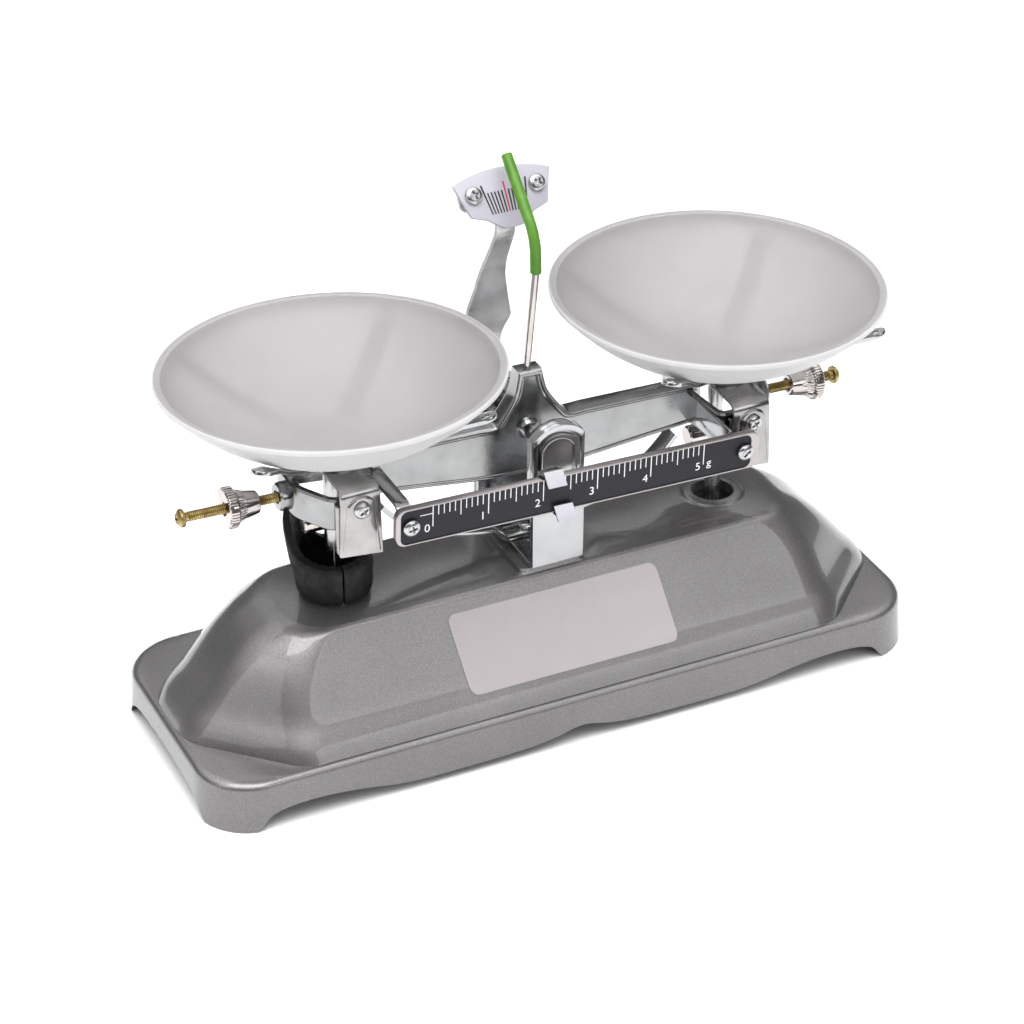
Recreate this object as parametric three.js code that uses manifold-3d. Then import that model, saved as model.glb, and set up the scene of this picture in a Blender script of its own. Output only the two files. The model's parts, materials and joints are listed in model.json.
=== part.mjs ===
// Double pan table balance: a beam on a central knife edge, two pan carriers held level by a check link
// in the hollow base, a rider on a graduated bar and a nut on a threaded rod at each end.
// Millimetres, +Z up. The origin is on the table, under the middle of the base. -Y is the front.
import * as THREE from 'three';
import { mergeVertices } from 'three/addons/utils/BufferGeometryUtils.js';
import Module from 'manifold-3d';

// Driving dimensions
const baseLength = 200;
const baseDepth = 72.4;
const skirtHeight = 13.7;
const plateauHeight = 40;
const beamOffset = 1.6;        // the balance stands this far right of the middle of the base
const knifeHeight = 72.6;      // the centre knife edge above the table
const armLength = 53.8;        // centre knife edge to end knife edge, along the beam
const endKnifeDrop = 4.6;      // the end edges lie this far below the centre edge
const linkPivotHeight = 22.6;  // the check link's own pivot above the table
const restTilt = 1.5;          // degrees: the rider holds the right end down
const panRadius = 42.9;
const panDepth = 19.5;
const panWall = 1.6;
const panRise = 4;             // underside of a pan above its carrier
const panLeans = { left: [0.8, 0], right: [0, 1.15] };  // degrees: how each bowl has settled, back and right
const scaleTilt = 36;          // degrees: the pointer scale leans back

// Fits
const gap = 0.3;               // between pieces that seat on each other
const overrun = 2;             // how far a cutting tool runs past what it cuts

const degree = Math.PI / 180;
const mix = (a, b, share) => a + (b - a) * share;
const wasm = await Module();
wasm.setup();

// Solids
function toSolid(geometry) {
  const bare = geometry.clone();
  bare.deleteAttribute('normal');
  bare.deleteAttribute('uv');
  const merged = mergeVertices(bare);
  const index = merged.index.array;
  const faces = [];
  for (let i = 0; i < index.length; i += 3) {
    const [a, b, c] = [index[i], index[i + 1], index[i + 2]];
    if (a !== b && b !== c && c !== a) faces.push(a, b, c);
  }
  const mesh = new wasm.Mesh({
    numProp: 3,
    vertProperties: new Float32Array(merged.attributes.position.array),
    triVerts: new Uint32Array(faces),
  });
  return new wasm.Manifold(mesh);
}

function toGeometry(solid) {
  const mesh = solid.getMesh();
  const geometry = new THREE.BufferGeometry();
  geometry.setAttribute('position', new THREE.BufferAttribute(new Float32Array(mesh.vertProperties), 3));
  geometry.setIndex(new THREE.BufferAttribute(new Uint32Array(mesh.triVerts), 1));
  geometry.computeVertexNormals();
  return geometry;
}

function join(first, ...others) {
  return toGeometry(others.reduce((sum, other) => sum.add(toSolid(other)), toSolid(first)));
}

function cut(body, ...tools) {
  return toGeometry(tools.reduce((rest, tool) => rest.subtract(toSolid(tool)), toSolid(body)));
}

function common(first, second) {
  return toGeometry(toSolid(first).intersect(toSolid(second)));
}

// A closed skin over a stack of outlines that have the same number of points
function loft(rings) {
  const count = rings[0].length;
  const points = rings.flat();
  const faces = [];
  for (let level = 0; level + 1 < rings.length; level += 1) {
    for (let i = 0; i < count; i += 1) {
      const a = level * count + i;
      const b = level * count + (i + 1) % count;
      faces.push(a, b, b + count, a, b + count, a + count);
    }
  }
  const last = (rings.length - 1) * count;
  for (let i = 1; i + 1 < count; i += 1) {
    faces.push(0, i + 1, i, last, last + i, last + i + 1);
  }
  const geometry = new THREE.BufferGeometry();
  geometry.setAttribute('position', new THREE.Float32BufferAttribute(points.flat(), 3));
  geometry.setIndex(faces);
  return geometry;
}

// Extrusions: an outline drawn in x and z runs along y, one in y and z along x, one in x and y along z
function alongY(shape, from, to, curveSegments = 5) {
  const geometry = new THREE.ExtrudeGeometry(shape, { depth: to - from, bevelEnabled: false, curveSegments });
  geometry.rotateX(Math.PI / 2);
  return geometry.translate(0, to, 0);
}

function alongX(shape, from, to, curveSegments = 5) {
  const geometry = new THREE.ExtrudeGeometry(shape, { depth: to - from, bevelEnabled: false, curveSegments });
  const turn = new THREE.Matrix4().makeBasis(
    new THREE.Vector3(0, 1, 0), new THREE.Vector3(0, 0, 1), new THREE.Vector3(1, 0, 0));
  return geometry.applyMatrix4(turn).translate(from, 0, 0);
}

function alongZ(shape, from, to, curveSegments = 5) {
  const geometry = new THREE.ExtrudeGeometry(shape, { depth: to - from, bevelEnabled: false, curveSegments });
  return geometry.translate(0, 0, from);
}

function block(x0, x1, y0, y1, z0, z1) {
  const geometry = new THREE.BoxGeometry(x1 - x0, y1 - y0, z1 - z0);
  return geometry.translate((x0 + x1) / 2, (y0 + y1) / 2, (z0 + z1) / 2);
}

function cylinder(axis, radius, from, to, segments = 20) {
  const geometry = new THREE.CylinderGeometry(radius, radius, to - from, segments);
  geometry.translate(0, (from + to) / 2, 0);
  if (axis === 'x') geometry.rotateZ(-Math.PI / 2);
  if (axis === 'z') geometry.rotateX(Math.PI / 2);
  return geometry;
}

// A profile of [radius, height] turned about z, listed from the bottom up on the outside
function turned(profile, segments) {
  const points = profile.map(([radius, height]) => new THREE.Vector2(radius, height));
  const geometry = new THREE.LatheGeometry(points, segments);
  return geometry.rotateX(Math.PI / 2);
}

function polygon(points) {
  return new THREE.Shape(points.map(([x, y]) => new THREE.Vector2(x, y)));
}

function circleHole(x, y, radius) {
  const path = new THREE.Path();
  path.absarc(x, y, radius, 0, 2 * Math.PI, true);
  return path;
}

// The outline of a strip of one thickness along a centre line, with square ends
function ribbon(line, thickness) {
  const left = [];
  const right = [];
  line.forEach(([x, y], i) => {
    const [xa, ya] = line[Math.max(i - 1, 0)];
    const [xb, yb] = line[Math.min(i + 1, line.length - 1)];
    const into = i > 0 ? Math.atan2(y - ya, x - xa) : Math.atan2(yb - y, xb - x);
    const out = i + 1 < line.length ? Math.atan2(yb - y, xb - x) : into;
    const half = Math.atan2(Math.sin(out - into), Math.cos(out - into)) / 2;
    const reach = thickness / 2 / Math.cos(half);
    const angle = into + half;
    left.push([x - reach * Math.sin(angle), y + reach * Math.cos(angle)]);
    right.push([x + reach * Math.sin(angle), y - reach * Math.cos(angle)]);
  });
  return polygon([...left, ...right.reverse()]);
}

// A line of points with its inner corners rounded
function rounded(line, radius, steps = 4) {
  const out = [line[0]];
  for (let i = 1; i + 1 < line.length; i += 1) {
    const corner = new THREE.Vector2(...line[i]);
    const before = new THREE.Vector2(...line[i - 1]).sub(corner);
    const after = new THREE.Vector2(...line[i + 1]).sub(corner);
    const reach = Math.min(radius, before.length() / 2, after.length() / 2);
    const from = corner.clone().add(before.setLength(reach));
    const to = corner.clone().add(after.setLength(reach));
    new THREE.QuadraticBezierCurve(from, corner, to).getPoints(steps).forEach((p) => out.push([p.x, p.y]));
  }
  out.push(line[line.length - 1]);
  return out;
}

function smooth(points, steps) {
  const curve = new THREE.SplineCurve(points.map(([x, y]) => new THREE.Vector2(x, y)));
  return curve.getPoints(steps).map((p) => [p.x, p.y]);
}

function mirrored(points) {
  return points.map(([x, y]) => [-x, y]).reverse();
}

const finishes = {
  hammerGrey: [0x8d8a8c, 0.35, 0.4],
  brightPlate: [0xd6dadd, 0.2, 1],
  steel: [0xb9bcc0, 0.3, 1],
  castPlate: [0xb4b8bb, 0.3, 1],
  blackBar: [0x2a2a31, 0.5, 0.3],
  whitePlate: [0xece8f2, 0.5, 0],
  whiteClip: [0xeef0fa, 0.4, 0.2],
  greenPlastic: [0x4fa832, 0.45, 0],
  brass: [0xa98a45, 0.35, 1],
  nickel: [0xd9d2cb, 0.25, 1],
  frosted: [0xe9e6e8, 0.5, 0],
  rubber: [0x1c1c1c, 0.85, 0],
};

function piece(name, geometry, finish) {
  const [color, roughness, metalness] = finishes[finish];
  const mesh = new THREE.Mesh(geometry, new THREE.MeshStandardMaterial({ color, roughness, metalness }));
  mesh.name = name;
  return mesh;
}

function pieces(names, geometries, finish) {
  return geometries.map((geometry, i) => piece(names[i], geometry, finish));
}

// Fasteners: a pan head on a plain shank, standing on z = 0 with the shank below
const screwHeadRadius = 2.2;
const screwHeadHeight = 1.5;
const screwShankRadius = 1.2;
const screwHeadShares = [[1, 0], [1, 0.5], [0.8, 0.9]];

function screw(shankLength) {
  const head = screwHeadShares.map(([r, h]) => [r * screwHeadRadius, h * screwHeadHeight]);
  const profile = [[0, -shankLength], [screwShankRadius, -shankLength], [screwShankRadius, 0], ...head,
    [0, screwHeadHeight]];
  return turned(profile, 8);
}

// Base shell
const baseCornerRadius = 15;
const skirtDraft = 0.6;
const skirtFillet = 1.5;
const flangeLand = 0.6;        // flat strip between the skirt's edge and the foot of the body
const flangeRise = 0.15;
const shellWall = 2.2;
const plateauHalfLength = 68;
const plateauHalfDepth = 15.4;
const plateauCornerRadius = 9;
const filletShare = 0.3;       // the fillet is one flat, this share of its radius from each end
const earCut = 16.6;           // how far the body's foot stays inside the corners of the flange
const bodyCornerRadius = 6;
const arcSteps = 3;
// height, end inset and side inset from the foot of the body to the plateau
const bodyShares = [[0, 0, 0], [0.31, 0.2, 0.3], [0.635, 0.45, 0.61], [0.81, 0.63, 0.78], [0.905, 0.765, 0.87],
  [0.973, 0.89, 0.937], [1, 1, 1]];
const postHoleRadius = 5.4;
const holeRingRadius = 8.2;
const holeRingHeight = 0.9;
const padHeight = 1.2;
const padHalfLength = 9;
const padHalfDepth = 14.5;
const archHeight = 5.7;
// the skirt's lower edge along a long side, from its middle to the foot: place along the half length, height
const sideArchShares = [[0, 0.92], [0.03, 0.85], [0.075, 0.65], [0.16, 0.48], [0.4, 0.43], [0.5, 0.52],
  [0.62, 0.85], [0.72, 1], [0.8, 0.95], [0.85, 0.72], [0.872, 0.3], [0.885, 0]];
const endArchShares = [[0, 1.2], [0.35, 1.12], [0.55, 0.95], [0.65, 0.6], [0.72, 0]];

// A rectangle with its corners cut at 45 degrees and every corner rounded
function cutRectangle(halfLength, halfDepth, cornerCut, radius, z) {
  const diagonal = (halfLength + halfDepth) / Math.SQRT2 - cornerCut;
  const reach = (diagonal - radius) * Math.SQRT2;
  const low = new THREE.Vector2(halfLength - radius, reach - (halfLength - radius));
  const high = new THREE.Vector2(reach - (halfDepth - radius), halfDepth - radius);
  const quarter = [];
  for (let i = 0; i <= 2 * arcSteps + 1; i += 1) {
    const centre = i <= arcSteps ? low : high;
    const angle = (i <= arcSteps ? i : i - 1) / (2 * arcSteps) * Math.PI / 2;
    quarter.push([centre.x + radius * Math.cos(angle), centre.y + radius * Math.sin(angle)]);
  }
  const flip = (points, sx, sy) => points.map(([x, y]) => [sx * x, sy * y]);
  const back = [...quarter].reverse();
  const outline = [...quarter, ...flip(back, -1, 1), ...flip(quarter, -1, -1), ...flip(back, 1, -1)];
  return outline.map(([x, y]) => [x, y, z]);
}

function shellRings(inset, bottom, shares) {
  const roundCut = (radius) => radius * (Math.SQRT2 - 1);
  const halfLength = baseLength / 2 - inset;
  const halfDepth = baseDepth / 2 - inset;
  const radius = baseCornerRadius - inset;
  const top = skirtHeight - inset;
  const skirt = [[0, bottom], [skirtDraft, top - skirtFillet], [skirtDraft + filletShare * skirtFillet,
    top - filletShare * skirtFillet], [skirtDraft + skirtFillet, top]];
  const rings = skirt.map(([step, z]) =>
    cutRectangle(halfLength - step, halfDepth - step, roundCut(radius), radius, z));
  const foot = skirtDraft + skirtFillet + flangeLand;
  const low = { length: halfLength - foot, depth: halfDepth - foot, z: top + flangeRise };
  const high = { length: plateauHalfLength - inset, depth: plateauHalfDepth - inset, z: plateauHeight - inset };
  shares.forEach(([rise, end, side]) => {
    const corner = mix(bodyCornerRadius, plateauCornerRadius, rise);
    rings.push(cutRectangle(mix(low.length, high.length, end), mix(low.depth, high.depth, side),
      mix(earCut, roundCut(plateauCornerRadius), rise), corner, mix(low.z, high.z, rise)));
  });
  return rings;
}

function archShape(shares, halfWidth) {
  const side = smooth(shares.map(([place, height]) => [place * halfWidth, height * archHeight]), 11);
  const top = [...mirrored(side), ...side.slice(1)];
  const end = side[side.length - 1][0];
  return polygon([...top, [end, -overrun], [-end, -overrun]]);
}

function baseShell() {
  const outside = loft(shellRings(0, 0, bodyShares));
  const ring = turned([[0, -shellWall / 2], [holeRingRadius, -shellWall / 2], [holeRingRadius, 0],
    [holeRingRadius - holeRingHeight, holeRingHeight], [0, holeRingHeight]], 20);
  const rings = [-1, 1].map((side) =>
    ring.clone().translate(beamOffset + side * armLength, 0, plateauHeight));
  const pad = block(beamOffset - padHalfLength, beamOffset + padHalfLength, -padHalfDepth, padHalfDepth,
    plateauHeight - shellWall / 2, plateauHeight + padHeight);
  const inside = loft(shellRings(shellWall, -overrun, bodyShares.filter((share, i) => i % 2 === 0)));
  const holes = [-1, 1].map((side) => cylinder('z', postHoleRadius, plateauHeight - 2 * shellWall,
    plateauHeight + overrun, 20).translate(beamOffset + side * armLength, 0, 0));
  const sideArch = alongY(archShape(sideArchShares, baseLength / 2), -baseDepth, baseDepth);
  const endArch = alongX(archShape(endArchShares, baseDepth / 2), -baseLength, baseLength);
  const screwHoles = bracketScrewPlaces.map((y) => cylinder('z', screwShankRadius + gap,
    plateauHeight - 2 * shellWall, plateauHeight + overrun, 12).translate(beamOffset, y, 0));
  return cut(join(outside, ...rings, pad), inside, ...holes, sideArch, endArch, ...screwHoles);
}

// Bearing bracket: one pressed strip, with a hood over the front bearing
const sheet = 1.5;
const bracketHalfWidth = 6.75;
const bracketHalfDepth = 15.8;
const bracketBottom = plateauHeight + padHeight;
const shoulderRise = 5.8;      // rises and drops are from the centre knife edge
const crownRise = 9.6;
const rearLegRise = 6.8;
const bracketShoulder = knifeHeight + shoulderRise;
const bracketTop = knifeHeight + crownRise;
const rearLegTop = knifeHeight + rearLegRise;
const hoodWall = 1.2;
const hoodDepth = 5.2;
const hoodDrop = 9.6;
const windowHalfWidth = 4.6;
const windowRise = 5.7;
const windowShoulderRise = 2.8;
const windowDrop = 12.1;
const windowDepth = 0.7;
const bracketScrewPlaces = [-9, 0, 9];

// An upright outline with an arched head, in x and z
function arched(halfWidth, bottom, shoulder, top) {
  const rise = top - shoulder;
  const radius = (halfWidth ** 2 + rise ** 2) / (2 * rise);
  const spread = Math.asin(halfWidth / radius);
  const shape = new THREE.Shape();
  shape.moveTo(-halfWidth, bottom);
  shape.lineTo(halfWidth, bottom);
  shape.absarc(0, top - radius, radius, Math.PI / 2 - spread, Math.PI / 2 + spread, false);
  shape.closePath();
  return shape;
}

function bearingBracket() {
  const front = alongY(arched(bracketHalfWidth, bracketBottom, bracketShoulder, bracketTop),
    -bracketHalfDepth, -bracketHalfDepth + sheet);
  const floor = block(-bracketHalfWidth, bracketHalfWidth, -bracketHalfDepth, bracketHalfDepth,
    bracketBottom, bracketBottom + sheet);
  const rear = alongY(arched(bracketHalfWidth, bracketBottom, rearLegTop - bracketHalfWidth / 2, rearLegTop),
    bracketHalfDepth - sheet, bracketHalfDepth);
  const hood = cut(
    alongY(arched(bracketHalfWidth, knifeHeight - hoodDrop, bracketShoulder, bracketTop),
      -bracketHalfDepth + sheet / 2, -bracketHalfDepth + sheet + hoodDepth),
    alongY(arched(bracketHalfWidth - hoodWall, knifeHeight - hoodDrop - overrun, bracketShoulder - hoodWall,
      bracketTop - hoodWall), -bracketHalfDepth + sheet, -bracketHalfDepth + sheet + hoodDepth + overrun));
  const window = alongY(arched(windowHalfWidth, knifeHeight - windowDrop, knifeHeight + windowShoulderRise,
    knifeHeight + windowRise), -bracketHalfDepth - overrun, -bracketHalfDepth + windowDepth);
  const screwHoles = bracketScrewPlaces.map((y) => cylinder('z', screwShankRadius + gap,
    bracketBottom - overrun, bracketBottom + 2 * sheet, 12).translate(0, y, 0));
  const uprightHoles = uprightScrewHeights.map((z) => cylinder('y', screwShankRadius + gap,
    bracketHalfDepth - 2 * sheet, bracketHalfDepth + overrun, 14).translate(0, 0, z));
  return cut(join(front, floor, rear, hood), window, ...screwHoles, ...uprightHoles);
}

// Centre knife bearings: blocks with a wide V under the knife edge
const bearingHalfWidth = 4.4;
const bearingThickness = 3;
const bearingDrop = 7;
const bearingRise = 1.3;
const bearingGrooveHalfWidth = 3.4;

function centreBearing() {
  return polygon([[-bearingHalfWidth, -bearingDrop], [bearingHalfWidth, -bearingDrop],
    [bearingHalfWidth, bearingRise], [bearingGrooveHalfWidth, bearingRise], [0, -gap],
    [-bearingGrooveHalfWidth, bearingRise], [-bearingHalfWidth, bearingRise]]);
}

// Scale upright: a shaped sheet that leans back and then forward, with a cross head behind the scale
const uprightSheet = 1.2;
const uprightFootRise = 4.8;   // above the bracket's floor
const uprightScrewShares = [0.344, 0.79];  // places between the bracket's floor and the knife edge
const uprightBottom = bracketBottom + uprightFootRise;
const uprightScrewHeights = uprightScrewShares.map((share) => mix(bracketBottom, knifeHeight, share));
const leanRise = 10.4;
const uprightRearY = 22.5;
const rearLowRise = 21.4;
const rearHighRise = 25.4;
const uprightHeadY = 11.4;     // where the sheet turns back under the scale
const headRise = 51;
const uprightHeadZ = knifeHeight + headRise;
const uprightHeadLength = 12.6;
const uprightBendRadius = 3;
const neckHalfWidth = 2.6;
const neckRise = 13.9;
const barbHalfWidth = 6.3;
const barbRise = 23.9;
const throatHalfWidth = 2.5;
const throatRise = 45.4;
const shoulderWidthShare = 0.7;
const flareShares = [0.5, 1.4];  // way from neck to barb, half width of the neck
const barbShares = [[0.23, 0.85], [0.56, 0.54]];  // way from barb to throat, half width of the barb
const scaleOffset = 1;         // the cross head and the scale sit this far right of the bracket
const crossHeadHalfWidth = 10.6;
const crossHeadStart = 6.2;    // along the slope, from the turn
const scaleThickness = 1;
const scaleScrewX = 8.6;
const scaleScrewPlace = 9.8;
const scaleLow = [[2.5, 0.5], [6.4, 3.2], [10.4, 4.6]];
const scaleCorner = [13.2, 13.2];
const scaleCrown = 15.6;

function slopePoint(place, lift) {
  const s = Math.sin(scaleTilt * degree);
  const c = Math.cos(scaleTilt * degree);
  return [uprightHeadY + place * s - lift * c, uprightHeadZ + place * c + lift * s];
}

function scaleUpright() {
  const seat = bracketHalfDepth + uprightSheet / 2;
  const line = rounded([[seat, uprightBottom], [seat, knifeHeight + leanRise],
    [uprightRearY, knifeHeight + rearLowRise], [uprightRearY, knifeHeight + rearHighRise],
    [uprightHeadY, uprightHeadZ], slopePoint(uprightHeadLength, 0)], uprightBendRadius);
  const side = alongX(ribbon(line, uprightSheet), -2 * crossHeadHalfWidth, 2 * crossHeadHalfWidth);
  const crossLow = slopePoint(crossHeadStart, 0)[1];
  const crossHigh = slopePoint(uprightHeadLength, 0)[1] + uprightSheet;
  const neck = knifeHeight + neckRise;
  const barb = knifeHeight + barbRise;
  const throat = knifeHeight + throatRise;
  const flare = [neckHalfWidth * flareShares[1], mix(neck, barb, flareShares[0])];
  const barbSteps = barbShares.map(([way, width]) => [barbHalfWidth * width, mix(barb, throat, way)]);
  const edge = [[bracketHalfWidth, uprightBottom], [bracketHalfWidth, rearLegTop - bracketHalfWidth / 2],
    ...smooth([[bracketHalfWidth * shoulderWidthShare, rearLegTop], [neckHalfWidth, neck], flare,
      [barbHalfWidth, barb]], 10),
    ...smooth([...barbSteps, [throatHalfWidth, throat]], 6), [throatHalfWidth, crossLow]];
  const crossHead = (side) => [[scaleOffset + side * crossHeadHalfWidth, crossLow],
    [scaleOffset + side * crossHeadHalfWidth, crossHigh]];
  const front = alongY(polygon([...edge, ...crossHead(1), ...crossHead(-1).reverse(), ...mirrored(edge)]),
    0, 2 * uprightRearY);
  const seatHoles = uprightScrewHeights.map((z) => cylinder('y', screwShankRadius + gap,
    bracketHalfDepth - overrun, bracketHalfDepth + uprightSheet + overrun, 14).translate(0, 0, z));
  return cut(common(side, front), ...seatHoles, ...scaleScrewHoles());
}

function scaleScrewHoles() {
  const [y, z] = slopePoint(scaleScrewPlace, 0);
  return [-1, 1].map((side) => cylinder('z', screwShankRadius + gap, -2 * uprightSheet, 2 * uprightSheet, 14)
    .rotateX((90 - scaleTilt) * degree).translate(scaleOffset + side * scaleScrewX, y, z));
}

function scalePlate() {
  const lift = uprightSheet / 2;
  const [cornerX, cornerPlace] = scaleCorner;
  const crown = smooth([[cornerX, cornerPlace], [0, scaleCrown], [-cornerX, cornerPlace]], 8);
  const outline = polygon([...scaleLow, ...crown, ...mirrored(scaleLow)]);
  outline.holes = [-1, 1].map((side) =>
    circleHole(side * scaleScrewX, scaleScrewPlace, screwShankRadius + gap));
  const plate = alongZ(outline, lift, lift + scaleThickness);
  return plate.rotateX((90 - scaleTilt) * degree).translate(scaleOffset, uprightHeadY, uprightHeadZ);
}

function scaleScrews() {
  const lift = uprightSheet / 2 + scaleThickness;
  const [y, z] = slopePoint(scaleScrewPlace, lift);
  const shank = scaleThickness + 2 * uprightSheet;
  return [-1, 1].map((side) => screw(shank).rotateX((90 - scaleTilt) * degree)
    .translate(scaleOffset + side * scaleScrewX, y, z));
}

// Beam stop: a bowed strip whose ends catch the arms
const stopThickness = 1.2;
const stopHalfWidth = 1.9;
const stopHalfFlat = 7;
const stopTipX = 40;
const stopTipDrop = 10.2;
const stopShares = [[0.12, 0.01], [0.4, 0.14], [0.66, 0.4], [0.85, 0.7], [1, 1]];

function beamStop() {
  const low = bracketBottom + sheet + stopThickness / 2;
  const run = stopTipX - stopHalfFlat;
  const rise = knifeHeight - stopTipDrop - low;
  const arm = stopShares.map(([along, up]) => [stopHalfFlat + along * run, low + up * rise]);
  const right = smooth([[stopHalfFlat, low], ...arm], 10);
  const line = [...mirrored(right), ...right];
  const hole = cylinder('z', screwShankRadius + gap, low - stopThickness, low + stopThickness, 14);
  return cut(alongY(ribbon(line, stopThickness), -stopHalfWidth, stopHalfWidth), hole);
}

// Link hanger: a saddle under the plateau whose ears carry the check link's pin
const linkThickness = 2;
const linkY = 3.6;             // middle of the link's thickness
const linkPinRadius = 1.5;
const linkPinFit = 0.1;        // radial running fit on the pins
const hangerWall = 1.5;
const hangerHalfWidth = 5;
const hangerHalfDepth = 12.4;
const hangerEarDrop = 4;
const hangerEarGap = 0.6;

function hangerEars() {
  const inner = linkThickness / 2 + hangerEarGap;
  return [[linkY - inner - hangerWall, linkY - inner], [linkY + inner, linkY + inner + hangerWall]];
}

function linkHanger() {
  const top = plateauHeight - shellWall;
  const saddle = block(-hangerHalfWidth, hangerHalfWidth, -hangerHalfDepth, hangerHalfDepth,
    top - hangerWall, top);
  const ears = hangerEars().map(([from, to]) => block(-hangerHalfWidth, hangerHalfWidth, from, to,
    linkPivotHeight - hangerEarDrop, top - hangerWall / 2));
  const bore = cylinder('y', linkPinRadius + linkPinFit, -hangerHalfDepth, hangerHalfDepth, 12)
    .translate(0, 0, linkPivotHeight);
  const screwHoles = bracketScrewPlaces.filter((y) => y !== 0).map((y) => cylinder('z', screwShankRadius + gap,
    top - 2 * hangerWall, top + overrun, 12).translate(0, y, 0));
  return cut(join(saddle, ...ears), bore, ...screwHoles);
}

function hangerPin() {
  const [[from], [, to]] = hangerEars();
  return cylinder('y', linkPinRadius, from - hangerWall / 2, to + hangerWall / 2, 12)
    .translate(0, 0, linkPivotHeight);
}

function bracketScrews() {
  const seat = bracketBottom + sheet;
  const through = seat - (plateauHeight - shellWall) + 2 * hangerWall;
  const shallow = seat - (plateauHeight - shellWall) - gap;
  return bracketScrewPlaces.map((y) => {
    const middle = y === 0;
    const height = middle ? seat + stopThickness : seat;
    return screw(middle ? shallow + stopThickness : through).translate(0, y, height);
  });
}

function uprightScrews() {
  const y = bracketHalfDepth + uprightSheet;
  return uprightScrewHeights.map((z) => screw(uprightSheet + sheet).rotateX(-Math.PI / 2).translate(0, y, z));
}

// Transit sleeve: a split rubber tube round the left post, standing on the ring of its hole
const sleeveRadius = 9.4;
const sleeveWall = 2.6;
const sleeveHeightShare = 0.57;   // of the room under the left cross bar
const sleeveFlapShare = 0.592;     // how far the flap stands above the tube, of the same room
const sleeveFlapLean = 3.4;
const sleeveBulge = 0.5;
const sleeveSlitHalf = 4;      // degrees
const sleeveSlitAngle = 262;   // degrees
const sleeveFlapAngle = 140;
const sleeveFlapSpread = 52;

function transitSleeve() {
  const around = 30;
  const up = 4;
  const bottom = plateauHeight + holeRingHeight;
  const leftEdge = knifeHeight - endKnifeDrop + armLength * Math.sin(restTilt * degree);
  const room = leftEdge + crossBarHeight - crossBarRadius - bottom;
  const point = (u, v, inner) => {
    const angle = sleeveSlitAngle + sleeveSlitHalf + u * (360 - 2 * sleeveSlitHalf);
    const away = Math.abs(((angle - sleeveFlapAngle + 540) % 360) - 180) / sleeveFlapSpread;
    const flap = away < 1 ? Math.cos(away * Math.PI / 2) ** 2 : 0;
    const height = room * (sleeveHeightShare + flap * sleeveFlapShare);
    const lean = Math.sqrt(flap) * sleeveFlapLean * v ** 1.5 + sleeveBulge * Math.sin(v * Math.PI);
    const radius = sleeveRadius + lean - (inner ? sleeveWall : 0);
    return [radius * Math.cos(angle * degree), radius * Math.sin(angle * degree), bottom + v * height];
  };
  const rings = [];
  for (let i = 0; i <= around; i += 1) {
    const ring = [];
    for (let j = 0; j <= up; j += 1) ring.push(point(i / around, j / up, false));
    for (let j = up; j >= 0; j -= 1) ring.push(point(i / around, j / up, true));
    rings.push(ring.reverse());
  }
  return loft(rings);
}

// Beam casting. Heights of the beam's pieces are from the centre knife edge.
const webThickness = 3.2;
const armTop = 2.4;
const neckTop = 16.4;
const neckTopHalfWidth = 3.3;
const neckShares = [[3, 0], [1.95, 0.18], [1.45, 0.42], [1.15, 0.72], [1, 1]];
const webMiddleBottom = -10.1;
const webEndBottom = -6.2;
const webEnd = 45.5;
const bellyShares = [[-1, 0], [-0.6, 0.5], [-0.3, 0.88], [0, 1], [0.3, 0.88], [0.6, 0.5], [1, 0]];
const beadWidth = 5.4;
const beadThickness = 1.7;
const lowerBeadWidth = 4.2;
const lowerBeadThickness = 1;
const pointerSocketRadius = 2.9;
const pointerSocketHeight = 6;
const knifeBossRadius = 3.8;
const knifeBossHalfLength = 4.4;
const knifeBossRise = 1.6;
const yokeBar = 3.1;
const yokeInnerX = 43.6;       // where the yoke leaves the web
const yokeFrontX = 49.2;
const yokeRearX = 60.2;
const yokeOuterX = 66;
const yokeHalfDepth = 15.5;
const yokeOuterHalf = 6;
const yokeInnerHalf = 2;
const yokeBottom = -6.8;
const yokeTop = 1.8;
const yokeSlantShares = [0.2, 0.75, 0.55, 0.35];  // how the slanted sides step in with the bar's width
const rodHeight = -3.5;
const rodRadius = 1.5;
const rodBossRadius = 3.7;
const rodBossLength = 2.2;
const rodSocketDepth = 4;

// The upper edge of the beam, from the right end to the left
function beamTopLine() {
  const rise = neckTop - armTop;
  const side = smooth(neckShares.map(([across, up]) => [across * neckTopHalfWidth, armTop + up * rise]), 9);
  return [[webEnd, armTop], ...side, ...mirrored(side), [-webEnd, armTop]];
}

function beamBottomLine() {
  const depth = webMiddleBottom - webEndBottom;
  return smooth(bellyShares.map(([along, down]) => [along * webEnd, webEndBottom + down * depth]), 12);
}

function inwards(line, step) {
  return line.map(([x, z], i) => {
    const [xa, za] = line[Math.max(i - 1, 0)];
    const [xb, zb] = line[Math.min(i + 1, line.length - 1)];
    const angle = Math.atan2(zb - za, xb - xa);
    return [x - step * Math.sin(angle), z + step * Math.cos(angle)];
  });
}

function yokeOutline(side, step) {
  const [inner, front, rear, outer] = yokeSlantShares;
  const half = [[yokeInnerX + step, yokeInnerHalf - inner * step],
    [yokeFrontX + front * step, yokeHalfDepth - step],
    [yokeRearX - rear * step, yokeHalfDepth - step], [yokeOuterX - step, yokeOuterHalf - outer * step]];
  const outline = [...half, ...half.map(([x, y]) => [x, -y]).reverse()];
  return outline.map(([x, y]) => [side * x, y]);
}

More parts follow.
